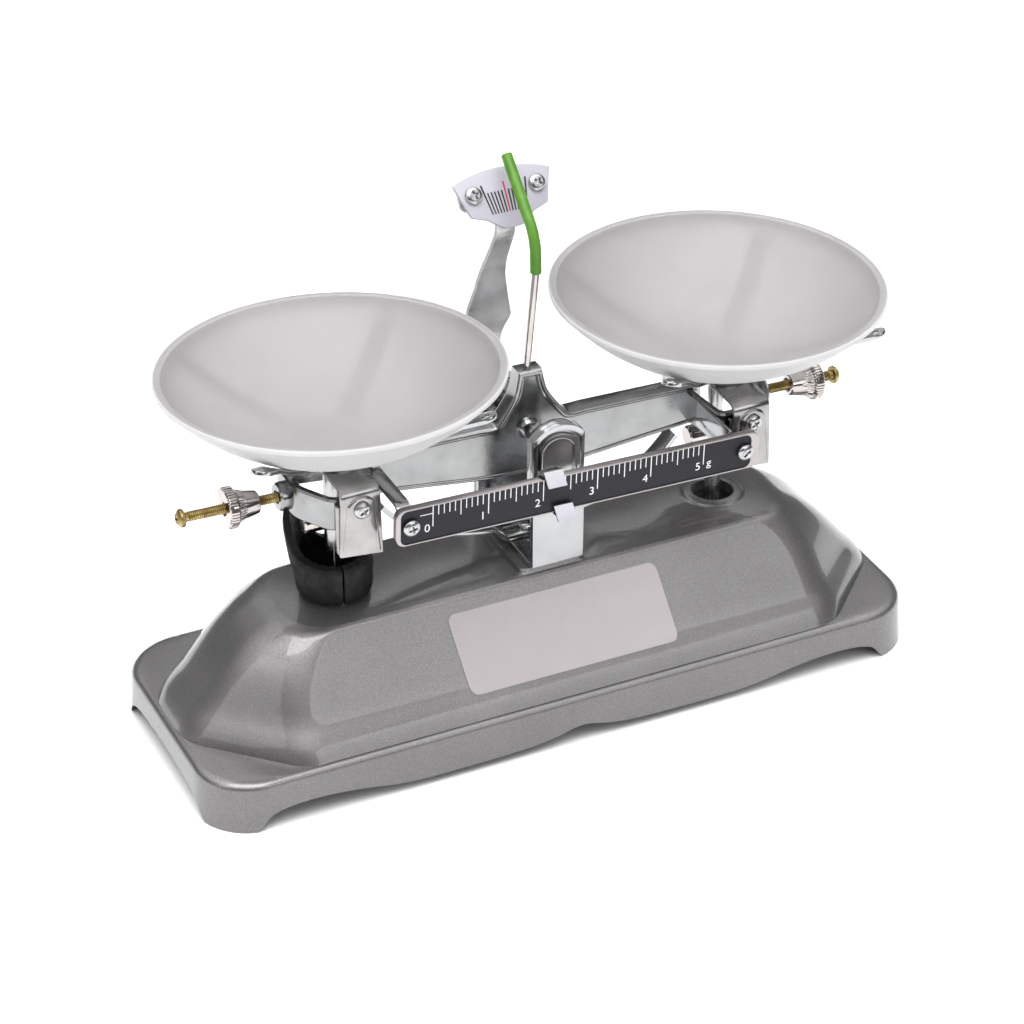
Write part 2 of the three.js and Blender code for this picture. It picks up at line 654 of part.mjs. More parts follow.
function yoke(side) {
  const body = alongZ(polygon(yokeOutline(side, 0)), yokeBottom, yokeTop);
  const space = alongZ(polygon(yokeOutline(side, yokeBar)), yokeBottom - overrun, yokeTop + overrun);
  const bossFrom = side > 0 ? yokeOuterX - yokeBar : -yokeOuterX - rodBossLength;
  const bossTo = side > 0 ? yokeOuterX + rodBossLength : -yokeOuterX + yokeBar;
  const boss = cylinder('x', rodBossRadius, bossFrom, bossTo, 16).translate(0, 0, rodHeight);
  return join(cut(body, space), boss);
}

// The end knives: short three-sided bars, edge up, one in each side of a yoke
const endKnifeHalfWidth = 1.5;
const endKnifeHeight = 2.4;
const endKnifeStub = 0.6;      // the knife stands this far inside its bar
const endKnifeInner = yokeHalfDepth - yokeBar - endKnifeStub;
const endBearingThickness = 1.6;
const earInner = 17.8;
const endKnifeOuter = earInner - gap;

function knifeShape(grow) {
  const half = endKnifeHalfWidth + grow;
  return polygon([[-half, -endKnifeHeight - grow], [half, -endKnifeHeight - grow], [0, 2 * grow]]);
}

function endKnife(side, front) {
  const from = front ? -endKnifeOuter : endKnifeInner;
  const to = front ? -endKnifeInner : endKnifeOuter;
  return alongY(knifeShape(0), from, to).translate(side * armLength, 0, -endKnifeDrop);
}

// The centre knife: a bar with its edge down, through the boss of the beam
const centreKnifeHalfWidth = 1.3;
const centreKnifeHeight = 3.4;
const centreKnifeFlank = 1.6;
const centreKnifeHalfLength = bracketHalfDepth - sheet - gap;

function centreKnifeShape(grow) {
  return polygon([[0, -2 * grow], [centreKnifeHalfWidth + grow, centreKnifeFlank], [centreKnifeHalfWidth + grow,
    centreKnifeHeight + grow], [-centreKnifeHalfWidth - grow, centreKnifeHeight + grow],
  [-centreKnifeHalfWidth - grow, centreKnifeFlank]]);
}

function beamCasting() {
  const top = beamTopLine();
  const bottom = beamBottomLine();
  const web = alongY(polygon([...top, ...bottom]), -webThickness / 2, webThickness / 2);
  const beadLine = polygon([...top, ...inwards(top, beadThickness).reverse()]);
  const bead = alongY(beadLine, -beadWidth / 2, beadWidth / 2);
  const lowerBead = alongY(polygon([...bottom, ...inwards(bottom, lowerBeadThickness).reverse()]),
    -lowerBeadWidth / 2, lowerBeadWidth / 2);
  const socketFoot = neckTop - pointerSocketHeight;
  const socket = turned([[0, socketFoot], [pointerSocketRadius, socketFoot], [pointerSocketRadius, neckTop],
    [0, neckTop]], 20);
  const boss = cylinder('y', knifeBossRadius, -knifeBossHalfLength, knifeBossHalfLength, 20)
    .translate(0, 0, knifeBossRise);
  const body = join(web, bead, lowerBead, socket, boss, yoke(1), yoke(-1));
  const centreSlot = alongY(centreKnifeShape(gap), -2 * knifeBossHalfLength, 2 * knifeBossHalfLength);
  const endSlots = [-1, 1].map((side) => alongY(knifeShape(gap), -2 * yokeHalfDepth, 2 * yokeHalfDepth)
    .translate(side * armLength, 0, -endKnifeDrop));
  const bossFace = yokeOuterX + rodBossLength;
  const rodHole = cylinder('x', rodRadius + gap, bossFace - rodSocketDepth, bossFace + overrun, 12);
  const rodHoles = [rodHole, rodHole.clone().rotateZ(Math.PI)].map((hole) => hole.translate(0, 0, rodHeight));
  const pointerHole = cylinder('z', pointerRadius + gap, neckTop - pointerSocketHeight, neckTop + overrun, 14);
  return cut(body, centreSlot, ...endSlots, ...rodHoles, pointerHole, armNotch(-1), armNotch(1));
}

// Pointer: a thin rod with a plastic sleeve that leans back over the scale
const pointerRadius = 0.95;
const pointerSleeveRadius = 1.65;
const pointerSleeveStart = 43.2;
const pointerBendHeight = 54.4;
const pointerBendRadius = 4;
const pointerLean = 49;        // degrees from upright
const pointerLeanLength = 22;
const pointerRodTop = 51.4;

function pointerRod() {
  return cylinder('z', pointerRadius, neckTop - pointerSocketHeight + gap, pointerRodTop, 14);
}

function pointerSleeve() {
  const reach = (distance) => [distance * Math.sin(pointerLean * degree),
    pointerBendHeight + distance * Math.cos(pointerLean * degree)];
  const line = rounded([[0, pointerSleeveStart], [0, pointerBendHeight], reach(pointerLeanLength)],
    pointerBendRadius, 6);
  const path = new THREE.CurvePath();
  for (let i = 0; i + 1 < line.length; i += 1) {
    const [a, b] = [line[i], line[i + 1]];
    if (Math.hypot(a[0] - b[0], a[1] - b[1]) > 0) {
      path.add(new THREE.LineCurve3(new THREE.Vector3(0, ...a), new THREE.Vector3(0, ...b)));
    }
  }
  const section = new THREE.Shape();
  section.absarc(0, 0, pointerSleeveRadius, 0, 2 * Math.PI, false);
  const tube = new THREE.ExtrudeGeometry(section, { steps: 10, extrudePath: path, curveSegments: 5 });
  const bore = cylinder('z', pointerRadius + gap, pointerSleeveStart - overrun, pointerRodTop + gap, 14);
  return cut(tube, bore);
}

// Rider scale: a graduated bar in front of the beam, on two bent arms
const barOffset = 1.7;         // the bar's middle from the beam's middle
const barLength = 98;
const barHeight = 10.3;
const barThickness = 2;
const barFrontY = -25;
const barZ = -4.1;
const barCornerRadius = 2.6;
const barScrewInset = 3;       // a screw's middle from the end of the bar
const barRebate = 0.3;         // the printed field lies this deep between the bright borders
const barBorder = 1.15;
const barEndBorder = 2.2;
const armSheet = 1;
const armHalfWidth = 1.9;
const armTopZ = 1;
const armRootY = 3.2;          // where an arm begins, in front of the web
const armPlaces = [44.3, 45.6];  // left and right arm from the beam's middle, on the yokes and clear of the ears
const armDrop = 2.6;           // its screw end reaches this far below the screw

function roundedBar(halfLength, halfHeight, radius) {
  const shape = new THREE.Shape();
  shape.absarc(halfLength - radius, -halfHeight + radius, radius, -Math.PI / 2, 0, false);
  shape.absarc(halfLength - radius, halfHeight - radius, radius, 0, Math.PI / 2, false);
  shape.absarc(-halfLength + radius, halfHeight - radius, radius, Math.PI / 2, Math.PI, false);
  shape.absarc(-halfLength + radius, -halfHeight + radius, radius, Math.PI, 1.5 * Math.PI, false);
  shape.closePath();
  return shape;
}

function scaleBar() {
  const bar = alongY(roundedBar(barLength / 2, barHeight / 2, barCornerRadius), barFrontY, barFrontY + barThickness, 4)
    .translate(barOffset, 0, barZ);
  const field = alongY(roundedBar(barLength / 2 - barEndBorder, barHeight / 2 - barBorder, barCornerRadius / 2),
    barFrontY - overrun, barFrontY + barRebate, 3).translate(barOffset, 0, barZ);
  const holes = [-1, 1].map((side) => cylinder('y', screwShankRadius + gap, barFrontY - overrun,
    barFrontY + barThickness + overrun, 12).translate(barScrewPlace(side), 0, barZ));
  return cut(bar, field, ...holes);
}

function barScrews() {
  return [-1, 1].map((side) => screw(barThickness + armSheet + gap).rotateX(Math.PI / 2)
    .translate(barScrewPlace(side), barFrontY, barZ));
}

function barScrewPlace(side) {
  return barOffset + side * (barLength / 2 - barScrewInset);
}

function armPlace(side) {
  return side > 0 ? armPlaces[1] : -armPlaces[0];
}

// A strip let into the yoke that runs forward and turns down behind the bar
function scaleArm(side) {
  const x = armPlace(side);
  const screwX = barScrewPlace(side);
  const back = barFrontY + barThickness + gap + armSheet / 2;
  const level = armTopZ - armSheet / 2;
  const line = rounded([[-armRootY, level], [back, level], [back, barZ - armDrop]], 2 * armSheet);
  const strip = alongX(ribbon(line, armSheet), x - armHalfWidth, x + armHalfWidth);
  const [from, to] = [Math.min(x, screwX) - armHalfWidth, Math.max(x, screwX) + armHalfWidth];
  const tab = block(from, to, back - armSheet / 2, back + armSheet / 2,
    barZ - armDrop, barZ + armDrop);
  const hole = cylinder('y', screwShankRadius + gap, back - 2 * armSheet, back + 2 * armSheet, 12)
    .translate(screwX, 0, barZ);
  return cut(join(strip, tab), hole);
}

function armNotch(side) {
  const x = armPlace(side);
  const reach = armHalfWidth + gap;
  return block(x - reach, x + reach, -yokeHalfDepth - overrun, -armRootY + gap,
    armTopZ - armSheet - gap, yokeTop + overrun);
}

// Rider: a clip that slides along the bar
const riderHalfLength = 2.9;
const riderWall = 0.7;
const riderHalfHeight = 8;
const riderWindowHalf = 2.7;
const scaleZero = -37.45;      // the 0 g mark from the beam's middle
const gramLength = 14.88;
const riderMass = 2.3;         // grams shown at rest

function riderPlace() {
  return scaleZero + riderMass * gramLength;
}

function rider() {
  const inner = barThickness / 2 + gap;
  const slot = barHeight / 2 + gap;
  const outer = inner + riderWall;
  const shape = polygon([[-outer, riderWindowHalf], [-inner, riderWindowHalf], [-inner, slot], [inner, slot],
    [inner, -slot], [-inner, -slot], [-inner, -riderWindowHalf], [-outer, -riderWindowHalf],
    [-outer, -riderHalfHeight], [outer, -riderHalfHeight], [outer, riderHalfHeight], [-outer, riderHalfHeight]]);
  return alongX(shape, -riderHalfLength, riderHalfLength).translate(0, barFrontY + barThickness / 2, barZ);
}

// Balance rods and nuts
const rodEnd = 91.6;
const rodHeadRadius = 2.35;
const rodHeadLength = 1.7;
const nutBore = rodRadius + gap;
const nutDiscRadius = 5.7;
const nutDiscLength = 3.2;
const nutConeLength = 6.6;
const nutConeWide = 4.5;
const nutConeNarrow = 3.1;
const nutPlaces = { left: -78.6, right: 80.2 };

function balanceRod(side) {
  const start = yokeOuterX + rodBossLength - rodSocketDepth + gap;
  const shank = rodEnd - rodHeadLength;
  const profile = [[0, start], [rodRadius, start], [rodRadius, shank], [rodHeadRadius, shank],
    [rodHeadRadius, rodEnd - rodHeadLength / 3], [rodRadius, rodEnd], [0, rodEnd]];
  return turned(profile, 14).rotateY(side * Math.PI / 2);
}

function balanceNut(side) {
  const half = (nutDiscLength + nutConeLength) / 2;
  const step = half - nutDiscLength;
  const profile = [[nutBore, -half], [nutConeNarrow, -half], [nutConeWide, step], [nutDiscRadius, step],
    [nutDiscRadius, half], [nutBore, half], [nutBore, -half]];
  return turned(profile, 18).rotateY(side * Math.PI / 2);
}

// Pan carriers. A bent strip hangs an ear over each end knife. Heights are from the end knife edge.
const carrierSheet = 1.2;
const carrierHalfWidth = 5.65;
const carrierTop = 10.8;
const earBottom = -7.6;
const earSlant = 1.2;
const earSlantShares = [0.7, 0.8, 0.4];  // along the half width; drop in the middle; foot of the raised panel
const earOuter = earInner + carrierSheet;
const earBend = 2.4;
const bossHalfWidth = 3.7;
const bossRaise = 0.7;
const bossTop = 8.2;
const earScrewHeight = 5.1;
const endBearingHalfWidth = 4.1;
const endBearingTop = 7.5;
const bearingWindowShare = 2.1;  // of the knife's half width
const endBearingBottom = -4.2;
const postRadius = 2;
const postDrop = knifeHeight - linkPivotHeight;   // end knife edge down to the eye at the post's foot
const postEyeHalfWidth = 2.8;
const postEyeHalfDepth = 1.7;
const postEyeRise = 3.4;
const openPivotFit = 0.4;      // radial clearance where the linkage is left open
const crossBarRadius = 2.9;
const crossBarHalfLength = 8.2;
const crossBarHeight = -7.7;
const postNutHeight = 2;
const postNutRadius = 3.4;
const hubRadius = 9.5;
const hubSheet = 1.2;
const spiderSheet = 1.1;
const spiderHalfWidth = 3;
const spiderTabHalfWidth = 2.5;
const spiderLeave = 35;        // radius where the arms leave the bowl
const spiderTip = 43;
const spiderTipDrop = 4.9;     // the tips below the rim
const spiderHole = 0.9;
const armRootShares = [0.6, 1.6];  // of the hub's radius: where an arm begins, where it meets the bowl
const rimLand = 2.2;
const rimShare = 0.6;          // of the wall, above the bowl's edge

function carrierFrame() {
  const mid = earInner + carrierSheet / 2;
  const top = carrierTop - carrierSheet / 2;
  const low = earBottom - earSlant;
  const line = rounded([[-mid, low], [-mid, top], [mid, top], [mid, low]], earBend, 4);
  const strip = alongX(ribbon(line, carrierSheet), -carrierHalfWidth, carrierHalfWidth);
  const [along, middle, foot] = earSlantShares;
  const lowEdge = smooth([[-carrierHalfWidth * along, earBottom - earSlant], [0, earBottom - middle * earSlant],
    [carrierHalfWidth, earBottom]], 6);
  const outline = polygon([[-carrierHalfWidth, earBottom - earSlant], ...lowEdge,
    [carrierHalfWidth, carrierTop + overrun], [-carrierHalfWidth, carrierTop + overrun]]);
  const trimmed = common(strip, alongY(outline, -2 * earOuter, 2 * earOuter));
  const panel = arched(bossHalfWidth, earBottom - foot * earSlant, bossTop - bossHalfWidth, bossTop);
  const boss = alongY(panel, earOuter - carrierSheet / 2, earOuter + bossRaise);
  const bosses = [boss, boss.clone().rotateZ(Math.PI)];
  const postHole = cylinder('z', postRadius + gap, carrierTop - 2 * carrierSheet, carrierTop + overrun, 12);
  return cut(join(trimmed, ...bosses), postHole, earHoles());
}

function earHoles() {
  return cylinder('y', screwShankRadius + gap, -2 * earOuter, 2 * earOuter, 14).translate(0, 0, earScrewHeight);
}

function endBearing(front) {
  const shape = polygon([[-endBearingHalfWidth, endBearingBottom], [endBearingHalfWidth, endBearingBottom],
    [endBearingHalfWidth, endBearingTop], [-endBearingHalfWidth, endBearingTop]]);
  const halfWindow = bearingWindowShare * endKnifeHalfWidth;
  const window = [[0, gap], [-halfWindow, -endKnifeHeight - 2 * gap], [halfWindow, -endKnifeHeight - 2 * gap]];
  shape.holes = [new THREE.Path(window.map(([x, z]) => new THREE.Vector2(x, z))),
    circleHole(0, earScrewHeight, screwShankRadius + gap)];
  const from = front ? -earInner : earInner - endBearingThickness;
  return alongY(shape, from, from + endBearingThickness);
}

function carrierScrews() {
  const seat = earOuter + bossRaise;
  const shank = bossRaise + carrierSheet + endBearingThickness;
  return [1, -1].map((face) =>
    screw(shank).rotateX(face * Math.PI / 2).translate(0, -face * seat, earScrewHeight));
}

function bowlRadius() {
  return (panRadius ** 2 + panDepth ** 2) / (2 * panDepth);
}

// The underside of a bowl at a distance from its axis, above its lowest point
function bowlRise(r) {
  return bowlRadius() - Math.sqrt(bowlRadius() ** 2 - r ** 2);
}

function panSeat() {
  return carrierTop + panRise;
}

function spider() {
  const hub = cylinder('z', hubRadius, carrierTop, carrierTop + hubSheet, 20);
  const under = (r) => {
    const slope = Math.asin(r / bowlRadius());
    const off = gap + spiderSheet / 2;
    return [r + off * Math.sin(slope), panSeat() + bowlRise(r) - off * Math.cos(slope)];
  };
  const [root, meet] = armRootShares.map((share) => share * hubRadius);
  const line = [[root, carrierTop + hubSheet / 2], [hubRadius, carrierTop + hubSheet / 2]];
  for (let i = 0; i <= 4; i += 1) line.push(under(mix(meet, spiderLeave, i / 4)));
  line.push([spiderTip, panSeat() + panDepth - spiderTipDrop]);
  const side = ribbon(line, spiderSheet);
  const plan = new THREE.Shape();
  plan.moveTo(0, -spiderHalfWidth);
  plan.lineTo(spiderLeave, -spiderTabHalfWidth);
  plan.absarc(spiderTip - spiderTabHalfWidth, 0, spiderTabHalfWidth, -Math.PI / 2, Math.PI / 2, false);
  plan.lineTo(spiderLeave, spiderTabHalfWidth);
  plan.lineTo(0, spiderHalfWidth);
  plan.closePath();
  plan.holes = [circleHole(spiderTip - spiderTabHalfWidth, 0, spiderHole)];
  const blade = common(alongY(side, -2 * spiderHalfWidth, 2 * spiderHalfWidth),
    alongZ(plan, 0, panSeat() + 2 * panDepth, 3));
  const arms = [45, 135, 225, 315].map((angle) => blade.clone().rotateZ(angle * degree));
  const hole = cylinder('z', postRadius + gap, carrierTop - overrun, carrierTop + hubSheet + overrun, 12);
  return cut(join(hub, ...arms), hole);
}

// A bowl, turned about the centre of its own curve as far as it has settled in the spider
function pan([back, right]) {
  const outer = [];
  const inner = [];
  const steps = 6;
  const innerCurve = bowlRadius() - panWall;
  const rimInner = panRadius - rimLand;
  for (let i = 0; i <= steps; i += 1) {
    const r = panRadius * i / steps;
    outer.push([r, panSeat() + bowlRise(r)]);
  }
  const rim = panSeat() + panDepth + panWall * rimShare;
  for (let i = steps; i >= 0; i -= 1) {
    const r = rimInner * i / steps;
    inner.push([r, panSeat() + panWall + innerCurve - Math.sqrt(innerCurve ** 2 - r ** 2)]);
  }
  const centre = panSeat() + bowlRadius();
  return turned([...outer, [panRadius, rim], [rimInner, rim], ...inner], 36).translate(0, 0, -centre)
    .rotateX(-back * degree).rotateY(right * degree).translate(0, 0, centre);
}

function postRod() {
  const top = carrierTop + hubSheet + postNutHeight;
  const bottom = -postDrop + postEyeRise;
  const foot = bottom - postEyeRise / 2;
  const rod = turned([[0, foot], [postRadius, foot], [postRadius, top], [0, top]], 12);
  const eye = block(-postEyeHalfWidth, postEyeHalfWidth, -postEyeHalfDepth, postEyeHalfDepth,
    -postDrop - postEyeRise, bottom);
  const bore = cylinder('y', linkPinRadius + openPivotFit, -2 * postEyeHalfDepth, 2 * postEyeHalfDepth, 12)
    .translate(0, 0, -postDrop);
  return cut(join(rod, eye), bore);
}

function crossBar() {
  const bar = cylinder('x', crossBarRadius, -crossBarHalfLength, crossBarHalfLength, 16);
  const bore = cylinder('z', postRadius + gap, -2 * crossBarRadius, 2 * crossBarRadius, 12);
  return cut(bar, bore).translate(0, 0, crossBarHeight);
}

function postNut() {
  const nut = cylinder('z', postNutRadius, carrierTop + hubSheet, carrierTop + hubSheet + postNutHeight - gap, 6);
  const bore = cylinder('z', postRadius + gap, carrierTop, carrierTop + 2 * postNutHeight + hubSheet, 12);
  return cut(nut, bore);
}

// Check link, about its own pivot: a bar whose end pins lie as far below its pivot as the end knives do
const linkHalfHeight = 2.4;
const linkEyeRadius = 3.8;
const linkBendShare = 0.3;     // of an arm, where the link turns down from its middle
const linkBendRadius = 6;

function checkLink() {
  const bend = armLength * linkBendShare;
  const line = [[-armLength, -endKnifeDrop], [-bend, -endKnifeDrop], [0, 0], [bend, -endKnifeDrop],
    [armLength, -endKnifeDrop]];
  const from = linkY - linkThickness / 2;
  const to = linkY + linkThickness / 2;
  const bar = alongY(ribbon(rounded(line, linkBendRadius, 3), 2 * linkHalfHeight), from, to);
  const places = [[-armLength, -endKnifeDrop], [0, 0], [armLength, -endKnifeDrop]];
  const eyes = places.map(([x, z]) => cylinder('y', linkEyeRadius, from, to, 14).translate(x, 0, z));
  const bores = places.map(([x, z]) => cylinder('y', linkPinRadius + (x === 0 ? linkPinFit : gap), from - overrun,
    to + overrun, 12).translate(x, 0, z));
  return cut(join(bar, ...eyes), ...bores);
}

function linkPin(side) {
  const from = -postEyeHalfDepth - gap;
  const to = linkY + linkThickness / 2;
  return cylinder('y', linkPinRadius, from, to, 12).translate(side * armLength, 0, -endKnifeDrop);
}

// Assembly
const balance = new THREE.Group();
const tilt = restTilt * degree;

const stand = new THREE.Group();
stand.add(piece('base_shell', baseShell(), 'hammerGrey'));
const column = new THREE.Group();
column.position.set(beamOffset, 0, 0);
column.add(piece('bearing_bracket', bearingBracket(), 'brightPlate'));
const frontSeat = -bracketHalfDepth + sheet;
column.add(piece('front_centre_bearing', alongY(centreBearing(), frontSeat, frontSeat + bearingThickness)
  .translate(0, 0, knifeHeight), 'steel'));
column.add(piece('rear_centre_bearing', alongY(centreBearing(), -frontSeat - bearingThickness, -frontSeat)
  .translate(0, 0, knifeHeight), 'steel'));
column.add(piece('scale_upright', scaleUpright(), 'brightPlate'));
column.add(...pieces(['lower_upright_screw', 'upper_upright_screw'], uprightScrews(), 'steel'));
column.add(piece('pointer_scale', scalePlate(), 'whitePlate'));
column.add(...pieces(['left_scale_screw', 'right_scale_screw'], scaleScrews(), 'steel'));
column.add(piece('beam_stop', beamStop(), 'brightPlate'));
column.add(...pieces(['front_bracket_screw', 'middle_bracket_screw', 'rear_bracket_screw'], bracketScrews(),
  'steel'));
column.add(piece('link_hanger', linkHanger(), 'brightPlate'));
column.add(piece('link_hanger_pin', hangerPin(), 'steel'));
stand.add(column);
const sleeve = piece('transit_sleeve', transitSleeve(), 'rubber');
sleeve.position.set(beamOffset - armLength, 0, 0);
stand.add(sleeve);
balance.add(stand);

const beam = new THREE.Group();
beam.position.set(beamOffset, 0, knifeHeight);
beam.rotation.y = tilt;
beam.add(piece('beam', beamCasting(), 'castPlate'));
beam.add(piece('centre_knife', alongY(centreKnifeShape(0), -centreKnifeHalfLength, centreKnifeHalfLength),
  'steel'));
beam.add(piece('left_front_knife', endKnife(-1, true), 'steel'));
beam.add(piece('left_rear_knife', endKnife(-1, false), 'steel'));
beam.add(piece('right_front_knife', endKnife(1, true), 'steel'));
beam.add(piece('right_rear_knife', endKnife(1, false), 'steel'));
beam.add(piece('pointer_rod', pointerRod(), 'nickel'));
beam.add(piece('pointer_sleeve', pointerSleeve(), 'greenPlastic'));
beam.add(piece('rider_bar', scaleBar(), 'blackBar'));
beam.add(...pieces(['left_bar_screw', 'right_bar_screw'], barScrews(), 'steel'));
beam.add(piece('left_bar_arm', scaleArm(-1), 'brightPlate'));
beam.add(piece('right_bar_arm', scaleArm(1), 'brightPlate'));
const riderPiece = piece('rider', rider(), 'whiteClip');
riderPiece.position.x = riderPlace();
beam.add(riderPiece);
for (const [name, side] of [['left', -1], ['right', 1]]) {
  const rod = piece(`${name}_balance_rod`, balanceRod(side), 'brass');
  const nut = piece(`${name}_balance_nut`, balanceNut(side), 'nickel');
  rod.position.z = rodHeight;
  nut.position.set(nutPlaces[name], 0, rodHeight);
  beam.add(rod, nut);
}
balance.add(beam);

for (const [name, side] of [['left', -1], ['right', 1]]) {
  const knife = new THREE.Vector3(side * armLength, 0, -endKnifeDrop);
  knife.applyAxisAngle(new THREE.Vector3(0, 1, 0), tilt);
  const carrier = new THREE.Group();
  carrier.position.set(beamOffset, 0, knifeHeight).add(knife);
  carrier.add(piece(`${name}_carrier`, carrierFrame(), 'brightPlate'));
  carrier.add(piece(`${name}_front_bearing`, endBearing(true), 'steel'));
  carrier.add(piece(`${name}_rear_bearing`, endBearing(false), 'steel'));
  carrier.add(...pieces([`${name}_front_ear_screw`, `${name}_rear_ear_screw`], carrierScrews(), 'steel'));
  carrier.add(piece(`${name}_spider`, spider(), 'brightPlate'));
  carrier.add(piece(`${name}_post`, postRod(), 'steel'));
  carrier.add(piece(`${name}_post_nut`, postNut(), 'steel'));
  carrier.add(piece(`${name}_cross_bar`, crossBar(), 'nickel'));
  carrier.add(piece(`${name}_pan`, pan(panLeans[name]), 'frosted'));
  balance.add(carrier);
}

const link = new THREE.Group();
link.position.set(beamOffset, 0, linkPivotHeight);
link.rotation.y = tilt;
link.add(piece('check_link', checkLink(), 'steel'));
link.add(piece('left_link_pin', linkPin(-1), 'steel'));
link.add(piece('right_link_pin', linkPin(1), 'steel'));
balance.add(link);

export default balance;
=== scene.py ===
import bpy
import bmesh
import json
import math
from mathutils import Matrix, Vector


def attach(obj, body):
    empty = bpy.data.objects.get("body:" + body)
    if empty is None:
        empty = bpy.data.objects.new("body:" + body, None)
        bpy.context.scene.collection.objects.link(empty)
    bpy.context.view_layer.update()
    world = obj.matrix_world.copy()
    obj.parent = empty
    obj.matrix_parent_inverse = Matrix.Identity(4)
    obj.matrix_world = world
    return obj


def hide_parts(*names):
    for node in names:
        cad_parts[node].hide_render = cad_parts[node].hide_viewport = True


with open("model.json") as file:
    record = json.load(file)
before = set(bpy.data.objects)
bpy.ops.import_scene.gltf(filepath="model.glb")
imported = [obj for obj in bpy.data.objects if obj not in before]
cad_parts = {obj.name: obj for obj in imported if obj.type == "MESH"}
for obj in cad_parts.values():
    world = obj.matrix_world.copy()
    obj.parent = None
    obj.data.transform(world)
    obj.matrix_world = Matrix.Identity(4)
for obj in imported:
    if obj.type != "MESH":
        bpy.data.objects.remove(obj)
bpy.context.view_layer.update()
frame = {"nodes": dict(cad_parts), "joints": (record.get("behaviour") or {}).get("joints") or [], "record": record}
cadNodes = frame["nodes"]
joints = {joint["name"]: joint for joint in frame["joints"]}
print("frame loaded:", len(cadNodes), "nodes")

# Seats: millimetre matrices for what stands still, the tilted beam and the two upright holders
mm = Matrix.Scale(0.001, 4)
beamAxis = Vector(joints["rider_slide"]["axis"])
beamTilt = math.atan2(-beamAxis.z, beamAxis.x)
knife = Vector(joints["beam_swing"]["pos_m"])
beamSeat = Matrix.Translation(knife) @ Matrix.Rotation(beamTilt, 4, "Y") @ mm
columnSeat = Matrix.Translation((knife.x, 0, 0)) @ mm
bodySeat = {"stand": columnSeat}
for body in ("beam_assembly", "rider_clip", "left_nut", "right_nut"):
    bodySeat[body] = beamSeat
for side in ("left", "right"):
    place = Matrix.Translation(joints[side + "_holder_swing"]["pos_m"]) @ mm
    bodySeat[side + "_holder"] = bodySeat[side + "_dish"] = place


# values that may be changed, a dictionary that is also read as look.name
class Look(dict):
    __getattr__ = dict.__getitem__


# Finishes
class Wire:
    def __init__(self, tree, socket=None):
        self.tree, self.socket = tree, socket

    def node(self, kind, settings=None, values=None, out=0):
        made = self.tree.nodes.new(kind)
        for name, value in (settings or {}).items():
            setattr(made, name, value)
        for key, value in (values or {}).items():
            if isinstance(value, Wire):
                self.tree.links.new(value.socket, made.inputs[key])
            else:
                made.inputs[key].default_value = value
        return Wire(self.tree, made.outputs[out])

    def maths(self, operation, *terms):
        return self.node("ShaderNodeMath", {"operation": operation}, dict(enumerate(terms)))

    def __add__(self, other):
        return self.maths("ADD", self, other)

    def __mul__(self, other):
        return self.maths("MULTIPLY", self, other)

    def __rsub__(self, other):
        return self.maths("SUBTRACT", other, self)

    __radd__, __rmul__ = __add__, __mul__


class Finish:
    def __init__(self, name, **constants):
        self.material = bpy.data.materials.new(name)
        self.material.use_nodes = True
        tree = self.material.node_tree
        self.shader = tree.nodes["Principled BSDF"]
        for key, value in constants.items():
            self.shader.inputs[key.replace("_", " ")].default_value = value
        self.wire = Wire(tree)
        self.place = self.wire.node("ShaderNodeTexCoord", out=3)

    def feed(self, name, wire):
        self.wire.tree.links.new(wire.socket, self.shader.inputs[name])

    def noise(self, scale, detail=3, stretch=(1, 1, 1)):
        place = self.wire.node("ShaderNodeMapping", values={"Vector": self.place, "Scale": stretch})
        return self.wire.node("ShaderNodeTexNoise", values={
            "Vector": place, "Scale": scale, "Detail": detail, "Roughness": 0.55})

    def cells(self, scale):
        return self.wire.node("ShaderNodeTexVoronoi", values={"Vector": self.place, "Scale": scale})

    def spread(self, value, low, high, toLow=0.0, toHigh=1.0):
        return self.wire.node("ShaderNodeMapRange", values={
            "Value": value, 1: low, 2: high, 3: toLow, 4: toHigh})

    def blend(self, mask, first, second):
        return self.wire.node("ShaderNodeMix", {"data_type": "RGBA"}, {0: mask, 6: first, 7: second}, out=2)

    def bump(self, height, distance, strength):
        values = {"Strength": strength, "Distance": distance, "Height": height}
        self.feed("Normal", self.wire.node("ShaderNodeBump", values=values))


def makeEnamel():
    look = Look(flake=2300, fineFlake=5200, dark=(0.13, 0.125, 0.128, 1), light=(0.25, 0.24, 0.247, 1))
    finish = Finish("hammerEnamel", Coat_Weight=1.0, Coat_Roughness=0.06, Specular_IOR_Level=0.5)
    flake = finish.spread(finish.cells(look.flake), 0.05, 0.5)
    fine = finish.spread(finish.noise(look.fineFlake, 2), 0.38, 0.64)
    cloud = finish.spread(finish.noise(55, 4), 0.35, 0.7, -0.08, 0.08)
    mask = (1 - flake) * 0.45 + fine * 0.55 + cloud
    finish.feed("Base Color", finish.blend(mask, look.dark, look.light))
    finish.feed("Metallic", finish.spread(fine, 0, 1, 0.65, 0.9))
    finish.feed("Roughness", finish.spread(flake, 0, 1, 0.3, 0.42))
    finish.bump(finish.noise(260, 2) + fine * 0.25, 0.00012, 0.35)
    return finish.material


def makePlate(name, base, tint, rough, wave, depth, cloudiness=0.05, metal=1.0):
    finish = Finish(name, Metallic=metal)
    cloud = finish.noise(140, 4)
    scratch = finish.noise(900, 2, (1, 0.08, 1))
    shares = (1 - 2.2 * cloudiness, 1 + cloudiness)
    low, high = ([min(1, base * t * share) for t in tint] + [1] for share in shares)
    finish.feed("Base Color", finish.blend(finish.spread(cloud, 0.3, 0.7), low, high))
    finish.feed("Roughness", finish.spread(cloud, 0.3, 0.75, rough * 0.7, rough * 1.35))
    finish.bump(finish.noise(wave, 2) + scratch * 0.12, depth, 0.6)
    return finish.material


